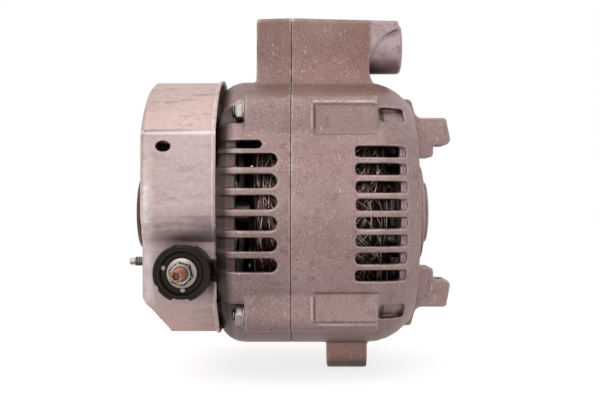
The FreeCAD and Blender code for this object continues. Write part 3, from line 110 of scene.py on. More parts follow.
class Facing(Enum):
    """Way that a turned piece points, as the turn that brings its own +Z there."""

    NEAR = ("X", 90.0)
    REAR = ("Y", -90.0)

    def turn(self) -> Matrix:
        """The turn as a matrix."""
        axis, angle = self.value
        return Matrix.Rotation(math.radians(angle), 4, axis)


def fitted(thing: Any, **settings: Any) -> Any:
    """Gives a node, a modifier or other data its settings, and hands it back."""
    for name, value in settings.items():
        setattr(thing, name, value)
    return thing


class Nodes:
    """Node tree that is filled in call by call."""

    def __init__(self, tree: bpy.types.NodeTree) -> None:
        """Takes a tree and empties it."""
        self.tree = tree
        tree.nodes.clear()

    def fill(self, node: bpy.types.Node, inputs: Inputs) -> None:
        """Links a node's inputs, by name or number, to sockets, or sets them to constants."""
        for name, value in inputs.items():
            if isinstance(value, Socket):
                self.tree.links.new(value, node.inputs[name])
            else:
                node.inputs[name].default_value = value

    def add(self, kind: str, inputs: Inputs | None = None, **settings: str | int) -> bpy.types.Node:
        """Adds a node of a type, named without ShaderNode in front, with its settings and inputs."""
        node = fitted(self.tree.nodes.new("ShaderNode" + kind), **settings)
        self.fill(node, inputs or {})
        return node

    def math(self, kind: str, *values: Socket | float) -> Socket:
        """Runs an operation over two or more values, from the first on."""
        result = values[0]
        for value in values[1:]:
            result = self.add("Math", {0: result, 1: value}, operation=kind).outputs["Value"]
        return result

    def product(self, *values: Socket | float) -> Socket:
        """Product of several values, the first of them a socket."""
        return self.math("MULTIPLY", *values)

    def seen(self) -> Socket:
        """One for camera, mirror and glass rays and zero for the light's own."""
        rays = self.add("LightPath").outputs
        kinds = ("Camera", "Glossy", "Transmission")
        return self.math("MAXIMUM", *[rays[f"Is {kind} Ray"] for kind in kinds])


class Board(Nodes):
    """Node tree of one material, with the patterns that the finishes are made of."""

    def __init__(self, name: str) -> None:
        """Starts a material of a name with its shader."""
        self.material = bpy.data.materials.new(name)
        self.material.use_nodes = True
        super().__init__(self.material.node_tree)
        self.shader = self.add("BsdfPrincipled")
        self.add("OutputMaterial", {"Surface": self.shader.outputs["BSDF"]})
        self.place = self.add("TexCoord").outputs["Object"]

    def stretched(self, scale: Sequence[float], turn: Sequence[float] = (0.0, 0.0, 0.0),
                  centre: Sequence[float] = (0.0, 0.0, 0.0)) -> Socket:
        """Object coordinates from a centre, turned in radians and scaled on each axis."""
        moved = self.add("VectorMath", {0: self.place, 1: centre}, operation="SUBTRACT").outputs["Vector"]
        return self.add("Mapping", {"Vector": moved, "Scale": scale, "Rotation": turn}).outputs["Vector"]

    def noise(self, scale: float, detail: float = 4.0, rough: float = 0.5,
              place: Socket | None = None) -> Socket:
        """Noise of so many spots per metre, over the object's own or other coordinates."""
        return self.add("TexNoise", {"Vector": place or self.place, "Scale": scale, "Detail": detail,
                                     "Roughness": rough}).outputs["Fac"]

    def spread(self, value: Socket, low: float, high: float,
               out_low: float = 0.0, out_high: float = 1.0) -> Socket:
        """Maps a value's range, low to high, to another one, held at its ends."""
        return self.add("MapRange", {"Value": value, "From Min": low, "From Max": high,
                                     "To Min": out_low, "To Max": out_high}).outputs["Result"]

    def blend(self, share: Socket, first: Colour | Socket, second: Colour | Socket) -> Socket:
        """Blends two colours, each a tint or a socket, by the share of the second."""
        start, end = [tint if isinstance(tint, Socket) else (*tint, 1.0) for tint in (first, second)]
        return self.add("Mix", {"Factor": share, 6: start, 7: end}, data_type="RGBA").outputs[2]

    def layers(self, colour: Socket, *rows: tuple[Colour, Socket | float]) -> Socket:
        """Lays tints over a colour, each by the product of the shares beside it."""
        for tint, *shares in rows:
            colour = self.blend(self.product(*shares), colour, tint)
        return colour

    def line(self, scale: float, width: float, mask_scale: float, cut: float) -> Socket:
        """Scratches: lines where a noise lies within a width of its middle, kept in the patches
        where a second noise lies above a cut.
        """
        level = self.math("ABSOLUTE", self.math("SUBTRACT", self.noise(scale, 2.0), 0.5), 0.0)
        patch = self.spread(self.noise(mask_scale, 3.0), cut, cut + 0.03)
        return self.product(self.spread(level, 0.0, width, 1.0, 0.0), patch)

    def streaks(self, scale: Sequence[float], turn: Sequence[float], cut: float) -> Socket:
        """Long marks, so many per metre on each axis, where a noise lies above a cut."""
        return self.spread(self.noise(1.0, 2.0, 0.5, self.stretched(scale, turn)), cut, cut + 0.035)

    def spot(self, centre: Sequence[float], size: Sequence[float]) -> Socket:
        """Soft spot: one at its centre, falling to zero at its half width on each axis."""
        place = self.stretched([1.0 / part for part in size], centre=centre)
        return self.add("TexGradient", {"Vector": place}, gradient_type="QUADRATIC_SPHERE").outputs["Fac"]

    def edges(self, low: float, high: float) -> Socket:
        """Share of convex edges, from the mesh's own curvature."""
        return self.spread(self.add("NewGeometry").outputs["Pointiness"], low, high)

    def hollows(self, reach: float) -> Socket:
        """Share of closed-in places, such as slots and corners, whose walls lie within a reach."""
        node = self.add("AmbientOcclusion", {"Distance": reach}, samples=6)
        return self.spread(node.outputs["AO"], 0.0, 1.0, 1.0, 0.0)

    def part(self, vector: Socket, axis: str, low: float, high: float) -> Socket:
        """Rises from zero to one as a vector's part along an axis goes from low to high."""
        return self.spread(self.add("SeparateXYZ", {0: vector}).outputs[axis], low, high)

    def along(self, axis: str, low: float, high: float) -> Socket:
        """Rises from zero to one between two places on an axis, in either order."""
        return self.part(self.place, axis, low, high)

    def facing(self, axis: str, low: float, high: float) -> Socket:
        """Rises from zero to one as the normal's part along an axis goes from low to high."""
        return self.part(self.add("NewGeometry").outputs["Normal"], axis, low, high)

    def radius(self, low: float, high: float) -> Socket:
        """Rises from zero to one between two distances from the shaft's axis."""
        node = self.add("VectorMath", {0: self.stretched((0.0, 1.0, 1.0))}, operation="LENGTH")
        return self.spread(node.outputs["Value"], low, high)

    def window(self, ranges: Ranges, soft: float = 0.6 * MM) -> Socket:
        """One inside a box of ranges, each an axis with its ends, falling to zero over a soft edge."""
        return self.math("MINIMUM", *[self.along(axis, *ends) for axis, low, high in ranges
                                      for ends in ((low - soft, low), (high + soft, high))])

    def band(self, axis: str, place: float, half: float) -> Socket:
        """One at a place on an axis, falling to zero at half a width from it."""
        return self.window([(axis, place, place)], half)

    def finish(self, colour: Socket, rough: Socket, metallic: float, height: Socket,
               depth: float) -> bpy.types.Material:
        """Sets the shader, with a relief of a depth in metres, and hands the material over."""
        bump = self.add("Bump", {"Strength": 1.0, "Distance": depth, "Height": height})
        self.fill(self.shader, {"Base Color": colour, "Roughness": rough, "Metallic": metallic,
                                "Normal": bump.outputs["Normal"]})
        return self.material


@dataclass(frozen=True)
class Ledge:
    """Step in the casting: a painted shadow at its foot across one axis, and a painted highlight on its edge
    so far beside it.
    """

    axis: str
    place: float
    edge: float
    start: float
    end: float

    def share(self, board: Board, offset: float, half: float) -> Socket:
        """One on a line beside the foot, on the near side and over the ledge's own range."""
        other = "X" if self.axis == "Z" else "Z"
        reach = board.window([(other, self.start, self.end), ("Y", -0.1, -0.03)])
        return board.product(board.band(self.axis, self.place + offset, half), reach)


@dataclass(frozen=True)
class CastAluminium:
    """Die-cast aluminium: speckled grain, brown stains, dirt and painted shade in hollows, and rubbed edges
    with painted highlights.
    """

    name: str
    pale: Colour
    dull: Colour
    brown: Colour
    foot: Colour
    # dirt colour, also used for painted shade
    bare: Colour
    # pale tone of rubbed metal, also used for painted highlights on edges
    dirt_and_shade: Colour
    wear_and_highlight: Colour
    boss: Ranges
    ledges: Sequence[Ledge]
    grain: float = 1300.0
    patches: float = 26.0
    arm: Pair = (0.052, 0.06)
    low_side: Pair = (-0.052, -0.064)
    gap: Pair = (-0.095, -0.099)
    gap_top: Pair = (0.052, 0.04)
    skin: float = 0.0673
    inside: float = 0.0662
    vents: Pair = (-0.1025, -0.0242)

    def make(self) -> bpy.types.Material:
        """Builds the material."""
        board = Board(self.name)
        patch = board.noise(self.patches, 5.0, 0.65)
        speck = board.noise(self.grain, 2.0, 0.6)
        cloud = board.noise(190.0, 4.0, 0.65)
        stain = board.spread(board.noise(45.0, 4.0, 0.6), 0.35, 0.62, 0.55, 1.0)
        behind = board.along("X", PARTING + 0.1 * MM, PARTING - 0.1 * MM)
        marks = board.math("MAXIMUM", board.streaks((900.0, 900.0, 110.0), (0.0, 0.42, 0.0), 0.715),
                           board.streaks((1100.0, 1100.0, 150.0), (0.0, -0.65, 0.0), 0.735))
        colour = board.layers(
            board.blend(board.spread(patch, 0.36, 0.64), self.pale, self.dull),
            (self.brown, board.spread(cloud, 0.5, 0.72, 0.0, 0.65)),
            (self.brown, board.along("Z", *self.arm), stain),
            # browner tone on the lower part, also lighter as painted light that lifts the shade there
            (self.foot, board.along("Z", *self.low_side)),
            (self.dirt_and_shade, behind, 0.13),
            (self.bare, board.window(self.boss, 2.5 * MM), board.spread(cloud, 0.35, 0.55, 0.5, 1.0)),
            (self.dirt_and_shade, board.spread(speck, 0.56, 0.74, 0.0, 0.34)),
            (self.wear_and_highlight, board.spread(speck, 0.44, 0.28, 0.0, 0.36)),
            # rubbed edges, partly a painted highlight on edges that face up
            (self.wear_and_highlight, self.edges(board, cloud), 0.75),
            (self.wear_and_highlight, marks, 0.8),
            (self.dirt_and_shade, board.spread(board.noise(420.0, 3.0, 0.7), 0.64, 0.72, 0.0, 0.55)),
            # painted shade in hollows, slots and below, with some dirt
            (self.dirt_and_shade, self.shade_and_grime(board), 0.93))
        return board.finish(colour, board.spread(patch, 0.3, 0.7, 0.4, 0.52), 0.45,
                            board.math("ADD", speck, cloud), 0.00008)

    def edges(self, board: Board, cloud: Socket) -> Socket:
        """Share of rubbed edges, with a painted highlight: convex ones, most where they face up, and the
        painted highlight lines beside the ledges.
        """
        worn = board.spread(cloud, 0.38, 0.6, 0.15, 1.0)
        # painted highlight: edges that face up are made paler
        lit = board.spread(board.facing("Z", -0.5, 0.4), 0.0, 1.0, 0.4, 1.0)
        # painted highlight line on the lip of each ledge
        lines = [board.product(ledge.share(board, ledge.edge, 0.75 * MM), worn) for ledge in self.ledges]
        return board.math("MAXIMUM", board.product(board.edges(0.51, 0.55), worn, lit), *lines)

    def shade_and_grime(self, board: Board) -> Socket:
        """Share of painted shade, with some dirt: darker on faces turned down, in corners, pockets and
        slots, behind the cover's lip, and a painted shadow at ledges' feet.
        """
        # painted shadow line at the foot of each ledge
        lines = [board.product(ledge.share(board, 0.0, 0.85 * MM), 0.7) for ledge in self.ledges]
        return board.math(
            "MAXIMUM",
            # painted shade on faces turned down
            board.product(board.facing("Z", -0.45, -1.0), 0.4),
            # painted shade in narrow and wide hollows, partly dirt in corners
            board.spread(board.hollows(3.0 * MM), 0.3, 0.75, 0.0, 0.75),
            board.spread(board.hollows(16.0 * MM), 0.32, 0.75, 0.0, 0.9),
            # painted shade in the gap behind the cover's lip
            board.product(board.along("X", *self.gap), board.along("Z", *self.gap_top)),
            # painted shade inside the slots, darker below the outer skin
            board.product(board.radius(self.skin, self.inside),
                          board.window([("X", *self.vents), ("Y", -0.1, 0.1)]), 0.85),
            *lines)


@dataclass(frozen=True)
class SatinSheet:
    """Pressed steel sheet: soft cloud, fine dark scratches, brown smears, painted shade along the bend,
    painted highlights on the folds and edges.
    """

    name: str
    base: Colour
    warm: Colour
    dark: Colour
    stain: Colour
    # painted highlight colour of the folds and edges
    painted_highlight: Colour
    foot: Colour
    # centre of the painted shade on the bend
    bend: Point
    bend_size: Point
    fold: float
    lower_fold: float
    rear: float
    front: float
    rough: float = 0.5

    def make(self) -> bpy.types.Material:
        """Builds the material."""
        board = Board(self.name)
        cloud = board.noise(34.0, 4.0, 0.6)
        smear = board.noise(210.0, 5.0, 0.7, board.stretched((0.28, 1.0, 1.0)))
        above = board.along("Z", self.fold - 0.2 * MM, self.fold + 0.2 * MM)
        below = board.along("Z", self.lower_fold + 1.0 * MM, self.lower_fold - 9.0 * MM)
        scratch = board.math("MAXIMUM", board.line(75.0, 0.0045, 60.0, 0.585),
                             board.line(230.0, 0.009, 48.0, 0.64))
        stain = board.math("ADD", board.product(above, 0.25), 0.4)
        worn = board.spread(board.noise(160.0, 4.0, 0.65), 0.36, 0.6, 0.25, 1.0)
        side = board.along("Z", 0.036, 0.01)
        # painted highlight on the fold, the rear edge and the front edge, broken up by wear
        painted_highlight = board.math("MAXIMUM", board.band("Z", self.fold - 0.5 * MM, 1.5 * MM),
                           board.product(board.band("X", self.rear + 2.6 * MM, 4.2 * MM), side, worn),
                           board.product(board.band("X", self.front - 1.6 * MM, 0.7 * MM), worn))
        # painted shade where the bend turns the sheet downward
        shade = board.math("POWER", board.spot(self.bend, self.bend_size), 0.6)
        colour = board.layers(
            board.blend(above, self.base, self.warm),
            (self.warm, board.spread(cloud, 0.35, 0.65, 0.0, 0.45)),
            # redder tone on the lower part, also lighter as painted light that lifts the shade there
            (self.foot, below, 0.8),
            (self.stain, board.spread(board.noise(360.0, 5.0, 0.75), 0.4, 0.66, 0.0, 0.2)),
            (self.dark, scratch, 0.65),
            (self.dark, board.spread(board.noise(520.0, 4.0, 0.75), 0.64, 0.69), 0.5),
            (self.stain, board.spread(smear, 0.54, 0.72), stain),
            (self.painted_highlight, painted_highlight, 0.9),
            # painted shade on the bend
            (self.dark, shade, 0.93),
            # painted shade in hollows
            (self.dark, board.hollows(5.0 * MM), 0.45))
        rough = board.math("ADD", board.spread(cloud, 0.3, 0.7, self.rough - 0.03, self.rough + 0.07),
                           board.product(shade, 0.2))
        height = board.math("ADD", board.noise(950.0, 3.0, 0.6), board.product(cloud, 3.0))
        return board.finish(colour, rough, 0.5, height, 0.00006)


@dataclass(frozen=True)
class Plain:
    """Finish of a small or inner piece: two tones, a fine grain, dirt and painted shade in its hollows, and
    painted shade on faces turned down or to +X.
    """

    name: str
    base: Colour
    second: Colour
    metallic: float
    rough: float
    grain: float = 900.0
    relief: float = 0.00003
    stretch: Point = (1.0, 1.0, 1.0)
    # share of painted shade, with some dirt, in hollows
    dirt_and_shade: float = 0.35
    glint: float = 0.5
    # share of painted shade on faces turned down and towards +X
    under: float = 0.0
    each: Colour | None = None

    def make(self) -> bpy.types.Material:
        """Builds the material."""
        board = Board(self.name)
        place = board.stretched(self.stretch)
        fine = board.noise(self.grain, 3.0, 0.6, place)
        cloud = board.noise(self.grain * 0.18, 4.0, 0.6, place)
        shade = tuple(0.25 * part for part in self.second)
        rows = []
        if self.each:
            island = board.add("NewGeometry").outputs["Random Per Island"]
            rows.append((self.each, board.spread(island, 0.55, 0.95)))
        # painted shade with some dirt in hollows
        rows.append((shade, board.spread(board.hollows(2.5 * MM), 0.1, 0.55), self.dirt_and_shade))
        # painted shade on faces turned down and towards +X
        if self.under:
            rows += [(shade, board.facing("Z", 0.15, -0.75), self.under),
                     (shade, board.facing("X", 0.2, 0.9), self.under * 0.7)]
        colour = board.layers(board.blend(board.spread(cloud, 0.36, 0.64), self.base, self.second), *rows)
        board.fill(board.shader, {"Specular IOR Level": self.glint})
        return board.finish(colour, board.spread(fine, 0.3, 0.7, self.rough - 0.06, self.rough + 0.06),
                            self.metallic, fine, self.relief)


Finish = CastAluminium | SatinSheet | Plain

# steps whose foot gets a painted shadow and whose lip gets a painted highlight
LEDGES = (
    Ledge("Z", 0.0513, 0.0014, -0.0578, -0.0282),
    Ledge("X", -0.0575, -0.0012, 0.04, 0.051),
    Ledge("X", -0.0575, -0.0012, -0.05, -0.0395),
    Ledge("Z", -0.0508, -0.0014, -0.0578, -0.0282),
)

FINISHES: dict[Slot, Finish] = {
    Slot.CASTING: CastAluminium(
        "casting", pale=(0.365, 0.246, 0.234), dull=(0.305, 0.2, 0.19), brown=(0.232, 0.128, 0.106),
        foot=(0.37, 0.215, 0.185), bare=(0.44, 0.335, 0.355), dirt_and_shade=(0.036, 0.017, 0.013),
        wear_and_highlight=(0.72, 0.6, 0.56), boss=(("X", -0.0265, -0.01), ("Z", 0.068, 0.098)), ledges=LEDGES),
    Slot.SHEET: SatinSheet(
        "sheet", base=(0.56, 0.44, 0.43), warm=(0.585, 0.43, 0.402), dark=(0.075, 0.036, 0.027),
        stain=(0.15, 0.08, 0.058), painted_highlight=(0.86, 0.77, 0.77), foot=(0.68, 0.46, 0.42),
        bend=(-0.1195, -0.052, -0.012), bend_size=(0.023, 0.009, 0.006),
        fold=0.0385, lower_fold=-0.043, rear=-0.1393, front=-0.1038),
    Slot.ZINC: Plain("zinc", (0.47, 0.425, 0.395), (0.4, 0.355, 0.325), 0.85, 0.26, dirt_and_shade=0.85, under=0.8),
    Slot.SHAFT: Plain("ground_steel", (0.45, 0.44, 0.43), (0.38, 0.37, 0.36), 0.9, 0.3,
                      stretch=(0.1, 1.0, 1.0)),
    Slot.CORE: Plain("laminations", (0.06, 0.04, 0.034), (0.035, 0.024, 0.02), 0.4, 0.5,
                     stretch=(4.0, 0.2, 0.2)),
    # near-black bundle: varnish, darkened partly to stand in for the shade inside the slots
    Slot.WIRE: Plain("varnished_bundle", (0.022, 0.008, 0.006), (0.01, 0.004, 0.003), 0.0, 0.7, glint=0.1),
    Slot.COPPER: Plain("copper", (0.42, 0.19, 0.132), (0.26, 0.1, 0.066), 0.85, 0.3,
                       dirt_and_shade=0.95, under=0.6),
    Slot.BEARING: Plain("bearing_steel", (0.5, 0.49, 0.48), (0.44, 0.43, 0.42), 1.0, 0.2),
    Slot.SEAL: Plain("seal_rubber", (0.025, 0.022, 0.022), (0.04, 0.035, 0.033), 0.0, 0.6),
    Slot.BLACK: Plain("black_moulding", (0.0125, 0.0065, 0.005), (0.02, 0.0115, 0.0085), 0.0, 0.42,
                      glint=0.18),
    Slot.BROWN: Plain("brown_moulding", (0.115, 0.04, 0.03), (0.07, 0.023, 0.018), 0.0, 0.42, glint=0.3),
    Slot.SINK: Plain("sink_aluminium", (0.5, 0.48, 0.46), (0.42, 0.4, 0.38), 0.8, 0.4),
    Slot.CARBON: Plain("brush_carbon", (0.05, 0.05, 0.052), (0.03, 0.03, 0.03), 0.2, 0.55),
}

# dark fan tone, darkened partly to stand in for the shade inside the frame
FAN_STEEL = Plain("fan_steel", (0.04, 0.027, 0.023), (0.024, 0.016, 0.013), 0.3, 0.6, glint=0.2)
ENAMEL = Plain("enamelled_wire", (0.1, 0.042, 0.028), (0.03, 0.012, 0.009), 0.6, 0.25, grain=400.0,
               each=(0.62, 0.5, 0.44))
PALE_PIN = Plain("pale_pin", (0.55, 0.5, 0.48), (0.45, 0.4, 0.38), 0.3, 0.4)


def linked(name: str, data: bpy.types.ID) -> bpy.types.Object:
    """Makes an object of its data and links it to the scene."""
    item = bpy.data.objects.new(name, data)
    bpy.context.scene.collection.objects.link(item)
    return item


def to_mesh(name: str, mesh: Shape) -> bpy.types.Mesh:
    """Turns a bmesh into mesh data and frees it."""
    data = bpy.data.meshes.new(name)
    mesh.to_mesh(data)
    mesh.free()
    return data


def joined(parts: Sequence[Shape]) -> Shape:
    """Joins bmeshes into one, and frees them."""
    whole = bmesh.new()
    for part in parts:
        whole.from_mesh(to_mesh("part", part))
    return whole


def solid_mesh(node: str, weld: float) -> Shape:
    """Mesh of a node's solid, with the points that lie closer than a distance welded."""
    mesh = bmesh.new()
    mesh.from_mesh(frame["nodes"][node].data)
    bmesh.ops.remove_doubles(mesh, verts=mesh.verts, dist=weld)
    return mesh


def evaluated(data: bpy.types.ID, setup: Callable[[bpy.types.Object], None] | None = None) -> bpy.types.Mesh:
    """Mesh that a mesh or a curve gives, with the modifiers that a setup adds to its object."""
    item = linked(data.name, data)
    if setup:
        setup(item)
    graph = bpy.context.evaluated_depsgraph_get()
    done = bpy.data.meshes.new_from_object(item.evaluated_get(graph))
    bpy.data.objects.remove(item)
    return done


class Workshop:
    """Makes materials once, and gives meshes to new objects and finishes to both kinds of piece."""

    def __init__(self) -> None:
        """Starts with no material made."""
        self.made: dict[str, bpy.types.Material] = {}

    def dress(self, item: bpy.types.Object, slot: Slot, finish: Finish | None = None) -> None:
        """Gives a new piece or a carried-over solid a slot, with its finish or one of its own."""
        chosen = finish or FINISHES[slot]
        if chosen.name not in self.made:
            self.made[chosen.name] = chosen.make()
        item.data.materials.clear()
        item.data.materials.append(self.made[chosen.name])

    def piece(self, name: str, form: bpy.types.Mesh | Shape, slot: Slot, stands_for: Sequence[str] = (),
              finish: Finish | None = None, body: str = "frame", crease: float = 38.0) -> bpy.types.Object:
        """Makes an object of a mesh, dresses it and puts it on its body.

        Args:
            name: The piece's name.
            form: Its mesh.
            slot: The slot of its finish.
            stands_for: Solids that it stands for.
            finish: A finish of its own, or none for the slot's.
            body: The body that it rides on.
            crease: Angle in degrees past which an edge is shaded sharp.

        Returns:
            The new object.
        """
        data = to_mesh(name, form) if isinstance(form, Shape) else form
        item = linked(name, data)
        data.shade_smooth()
        data.set_sharp_from_angle(angle=math.radians(crease))
        self.dress(item, slot, finish)
        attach(item, body)
        if stands_for:
            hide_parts(*stands_for)
        LOG.info("%s: %d faces on %s", name, len(data.polygons), body)
        return item


def spun(profile: Profile, steps: int, closed: bool = True) -> Shape:
    """Turns a profile once about Z.

    Args:
        profile: Points as (place along Z, radius).
        steps: Faces round the turn.
        closed: Whether the last point joins the first.

    Returns:
        The turned shape, its faces outwards.
    """
    mesh = bmesh.new()
    points = [mesh.verts.new((radius, 0.0, along)) for along, radius in profile]
    pairs = list(zip(points, points[1:]))
    if closed:
        pairs.append((points[-1], points[0]))
    edges = [mesh.edges.new(pair) for pair in pairs]
    bmesh.ops.spin(mesh, geom=points + edges, cent=(0, 0, 0), axis=Z_AXIS, angle=math.tau,
                   steps=steps, use_merge=True)
    bmesh.ops.remove_doubles(mesh, verts=mesh.verts, dist=1e-7)
    bmesh.ops.recalc_face_normals(mesh, faces=mesh.faces)
    return mesh


def placed(mesh: Shape, facing: Facing, place: Sequence[float]) -> Shape:
    """Points a turned shape a way and moves it to its place."""
    bmesh.ops.transform(mesh, matrix=Matrix.Translation(place) @ facing.turn(), verts=mesh.verts)
    return mesh


def polar(corner: bmesh.types.BMVert) -> Pair:
    """A point's distance from Z, and its angle about it in radians."""
    return math.hypot(corner.co.x, corner.co.y), math.atan2(corner.co.y, corner.co.x)


def widen(corner: bmesh.types.BMVert, factor: float) -> None:
    """Multiplies a point's distance from Z."""
    corner.co.x *= factor
    corner.co.y *= factor


def thread(start: float, end: float, radius: float, pitch: float) -> Profile:
    """Profile of a thread between two places, as turned ridges.

    Args:
        start: Place of the first ridge's foot.
        end: Place of the last ridge's foot.
        radius: Radius over the ridges.
        pitch: Distance from ridge to ridge.

    Returns:
        The profile's points.
    """
    count = max(1, round(abs(end - start) / pitch))
    step = (end - start) / count
    points = []
    for index in range(count):
        foot = start + index * step
        points += [(foot, radius - 0.55 * pitch), (foot + 0.42 * step, radius), (foot + 0.58 * step, radius)]
    points.append((end, radius - 0.55 * pitch))
    return points


@dataclass(frozen=True)
class FlangeNut:
    """Hexagon nut on a round flange, or a plain one where the flange is left out."""

    flats: float
    height: float
    bore: float
    flange: float = 0.0
    flange_height: float = 0.0
    chamfer: float = 0.5 * MM
    mouth: float = 0.35 * MM
    steps: int = 48

    def shape(self, turn: float = 0.0) -> Shape:
        """Builds the nut on its seat at zero, pointing along +Z and turned by degrees."""
        half = self.flats / 2
        foot = [(0.0, self.flange - 0.2 * MM), (0.25 * MM, self.flange),
                (self.flange_height * 0.6, self.flange), (self.flange_height, half + 0.6 * MM),
                (self.flange_height + 0.1 * MM, half)] if self.flange else [(0.0, half)]
        mesh = spun([(0.0, self.bore), *foot, (self.height - self.chamfer, half),
                     (self.height, half - self.chamfer * 0.5), (self.height, self.bore + self.mouth),
                     (self.height - self.mouth, self.bore)], self.steps)
        sixth = math.pi / 3
        for corner in mesh.verts:
            across, angle = polar(corner)
            if abs(across - half) > 1e-6:
                continue
            push = 1.0 / math.cos((angle + sixth / 2) % sixth - sixth / 2)
            widen(corner, push)
            if corner.co.z > self.height / 2:
                corner.co.z -= (push - 1.0) * half * 0.6
        bmesh.ops.rotate(mesh, verts=mesh.verts, cent=(0, 0, 0),
                         matrix=Matrix.Rotation(math.radians(turn), 3, "Z"))
        return mesh


@dataclass
class CastFrames:
    """The two die-cast end frames: the solids' forms with the rounded edges of a casting."""

    shop: Workshop
    voxel: float = 0.72 * MM
    weld: float = 0.01 * MM
    rounding: int = 6
    parting_edge: float = 0.6 * MM
    most_faces: int = 190000

    def build(self) -> None:
        """Makes both frames."""
        for side in ("drive", "rear"):
            node, name = f"{side}_end_frame", f"{side}_frame_casting"
            data = evaluated(to_mesh(name, solid_mesh(node, self.weld)), self.grain)
            self.shop.piece(name, evaluated(data, self.cast), Slot.CASTING, [node], crease=180.0)

    def grain(self, item: bpy.types.Object) -> None:
        """Remeshes a frame finely and evenly."""
        fitted(item.modifiers.new("grain", "REMESH"), mode="VOXEL", voxel_size=self.voxel)

    def cast(self, item: bpy.types.Object) -> None:
        """Rounds the edges, but those of the parting plane, and thins the mesh."""
        inside = [corner.index for corner in item.data.vertices
                  if abs(corner.co.x - PARTING) > self.parting_edge]
        item.vertex_groups.new(name="rounded").add(inside, 1.0, "REPLACE")
        fitted(item.modifiers.new("rounding", "SMOOTH"), iterations=self.rounding, vertex_group="rounded")
        ratio = min(1.0, self.most_faces / (2 * len(item.data.polygons)))
        fitted(item.modifiers.new("thin", "DECIMATE"), ratio=ratio)


@dataclass
class PressedCover:
    """Rear cover: the solid's sheet with a long bend, a slanting foot and rounded folds.

    A place with no axis in its name is on Z. The near side starts at side_start_y, the slanting
    foot is drawn in towards pivot_y, and a face narrower than cut_width is a cut edge.
    """

    shop: Workshop
    weld: float = 0.01 * MM
    flat: float = math.radians(0.6)
    fold_angle: float = math.radians(22.0)
    fold_round: float = 1.2 * MM
    rim_round: float = 0.75 * MM
    rim_depth: float = 3.0 * MM
    cut_width: float = 1.6 * MM
    shortest_fold: float = 0.2 * MM
    probe_x: float = -116.0 * MM
    side_start_y: float = -40.0 * MM
    side_blend: float = 6.0 * MM
    bend_top: float = 4.0 * MM
    bend_foot: float = -13.6 * MM
    slant_top: float = -43.0 * MM
    slant_foot: float = -61.5 * MM
    slant_foot_y: float = -33.0 * MM
    pivot_y: float = -28.3 * MM
    squash_top: float = -40.0 * MM
    squash: float = 0.86
    step: float = 1.1 * MM
    solid_side: list[Pair] = field(default_factory=list)

    def build(self) -> None:
        """Makes the cover."""
        mesh = solid_mesh("rear_cover", self.weld)
        bmesh.ops.dissolve_limit(mesh, angle_limit=self.flat, verts=mesh.verts, edges=mesh.edges)
        solid = BVHTree.FromBMesh(mesh)
        levels = (self.levels(self.bend_foot, self.bend_top)
                  + self.levels(self.slant_foot + 0.2 * MM, self.slant_top))
        self.solid_side = sorted((z, solid.ray_cast(Vector((self.probe_x, -0.1, z)), Y_AXIS)[0].y)
                                 for z in levels)
        for z in levels:
            bmesh.ops.bisect_plane(mesh, geom=mesh.verts[:] + mesh.edges[:] + mesh.faces[:], dist=1e-7,
                                   plane_co=(0.0, 0.0, z), plane_no=Z_AXIS)
        for corner in mesh.verts:
            self.reform(corner.co)
        bmesh.ops.recalc_face_normals(mesh, faces=mesh.faces)
        self.soften(mesh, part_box("rear_cover")[0].x + self.rim_depth)
        self.shop.piece("pressed_cover", mesh, Slot.SHEET, ["rear_cover"], crease=30.0)

    def levels(self, low: float, high: float) -> list[float]:
        """Heights from low to high in even steps."""
        count = max(2, round((high - low) / self.step))
        return [low + (high - low) * index / count for index in range(count + 1)]

    def side(self, z: float) -> float:
        """Place on Y of the solid's near side at a height."""
        rows = self.solid_side
        for (z0, y0), (z1, y1) in zip(rows, rows[1:]):
            if z0 <= z <= z1:
                return y0 + (y1 - y0) * (z - z0) / (z1 - z0)
        return rows[0][1] if z < rows[0][0] else rows[-1][1]

    def reform(self, point: Vector) -> None:
        """Moves a point of the near side, in place, to the shape of the bend and the slanting foot."""
        if self.bend_foot < point.z < self.bend_top and point.y < self.side_start_y:
            start, end = self.side(self.bend_top), self.side(self.bend_foot)
            run = self.bend_top - self.bend_foot
            radius = (run ** 2 + (end - start) ** 2) / (2 * (end - start))
            wanted = start + radius - math.sqrt(radius ** 2 - (self.bend_top - point.z) ** 2)
            share = min(1.0, (self.side_start_y - point.y) / self.side_blend)
            point.y += share * (wanted - self.side(point.z))
        elif point.z < self.slant_top and point.y < self.pivot_y:
            share = (self.slant_top - point.z) / (self.slant_top - self.slant_foot)
            start = self.side(self.slant_top)
            wanted = start + share * (self.slant_foot_y - start)
            scale = (self.pivot_y - wanted) / (self.pivot_y - self.side(point.z))
            point.y = self.pivot_y - (self.pivot_y - point.y) * min(1.0, scale)
        if point.z < self.squash_top:
            point.z = self.squash_top + self.squash * (point.z - self.squash_top)

    def soften(self, mesh: Shape, rim_end: float) -> None:
        """Rounds the outer folds and the rim of the rear face, which ends at a place on X."""
        for rim, width in ((True, self.rim_round), (False, self.fold_round)):
            chosen = [edge for edge in mesh.edges if self.is_fold(edge)
                      and rim == all(corner.co.x < rim_end for corner in edge.verts)]
            LOG.info("rounds %d edges of the cover by %.2f mm", len(chosen), width / MM)
            bmesh.ops.bevel(mesh, geom=chosen, offset=width, segments=3, profile=0.5, affect="EDGES",
                            clamp_overlap=rim, material=-1)

    def is_fold(self, edge: bmesh.types.BMEdge) -> bool:
        """Whether an edge is an outward fold of the sheet and no cut edge."""
        if len(edge.link_faces) != 2 or not edge.is_convex or edge.calc_length() < self.shortest_fold:
            return False
        width = min(face.calc_area() for face in edge.link_faces) / edge.calc_length()
        return edge.calc_face_angle() > self.fold_angle and width > self.cut_width


@dataclass(frozen=True)
class Bundle:
    """Bundle of the winding: the places of its sides at the core and far from it, and its radius."""

    foot: float
    crest: float
    outer: float


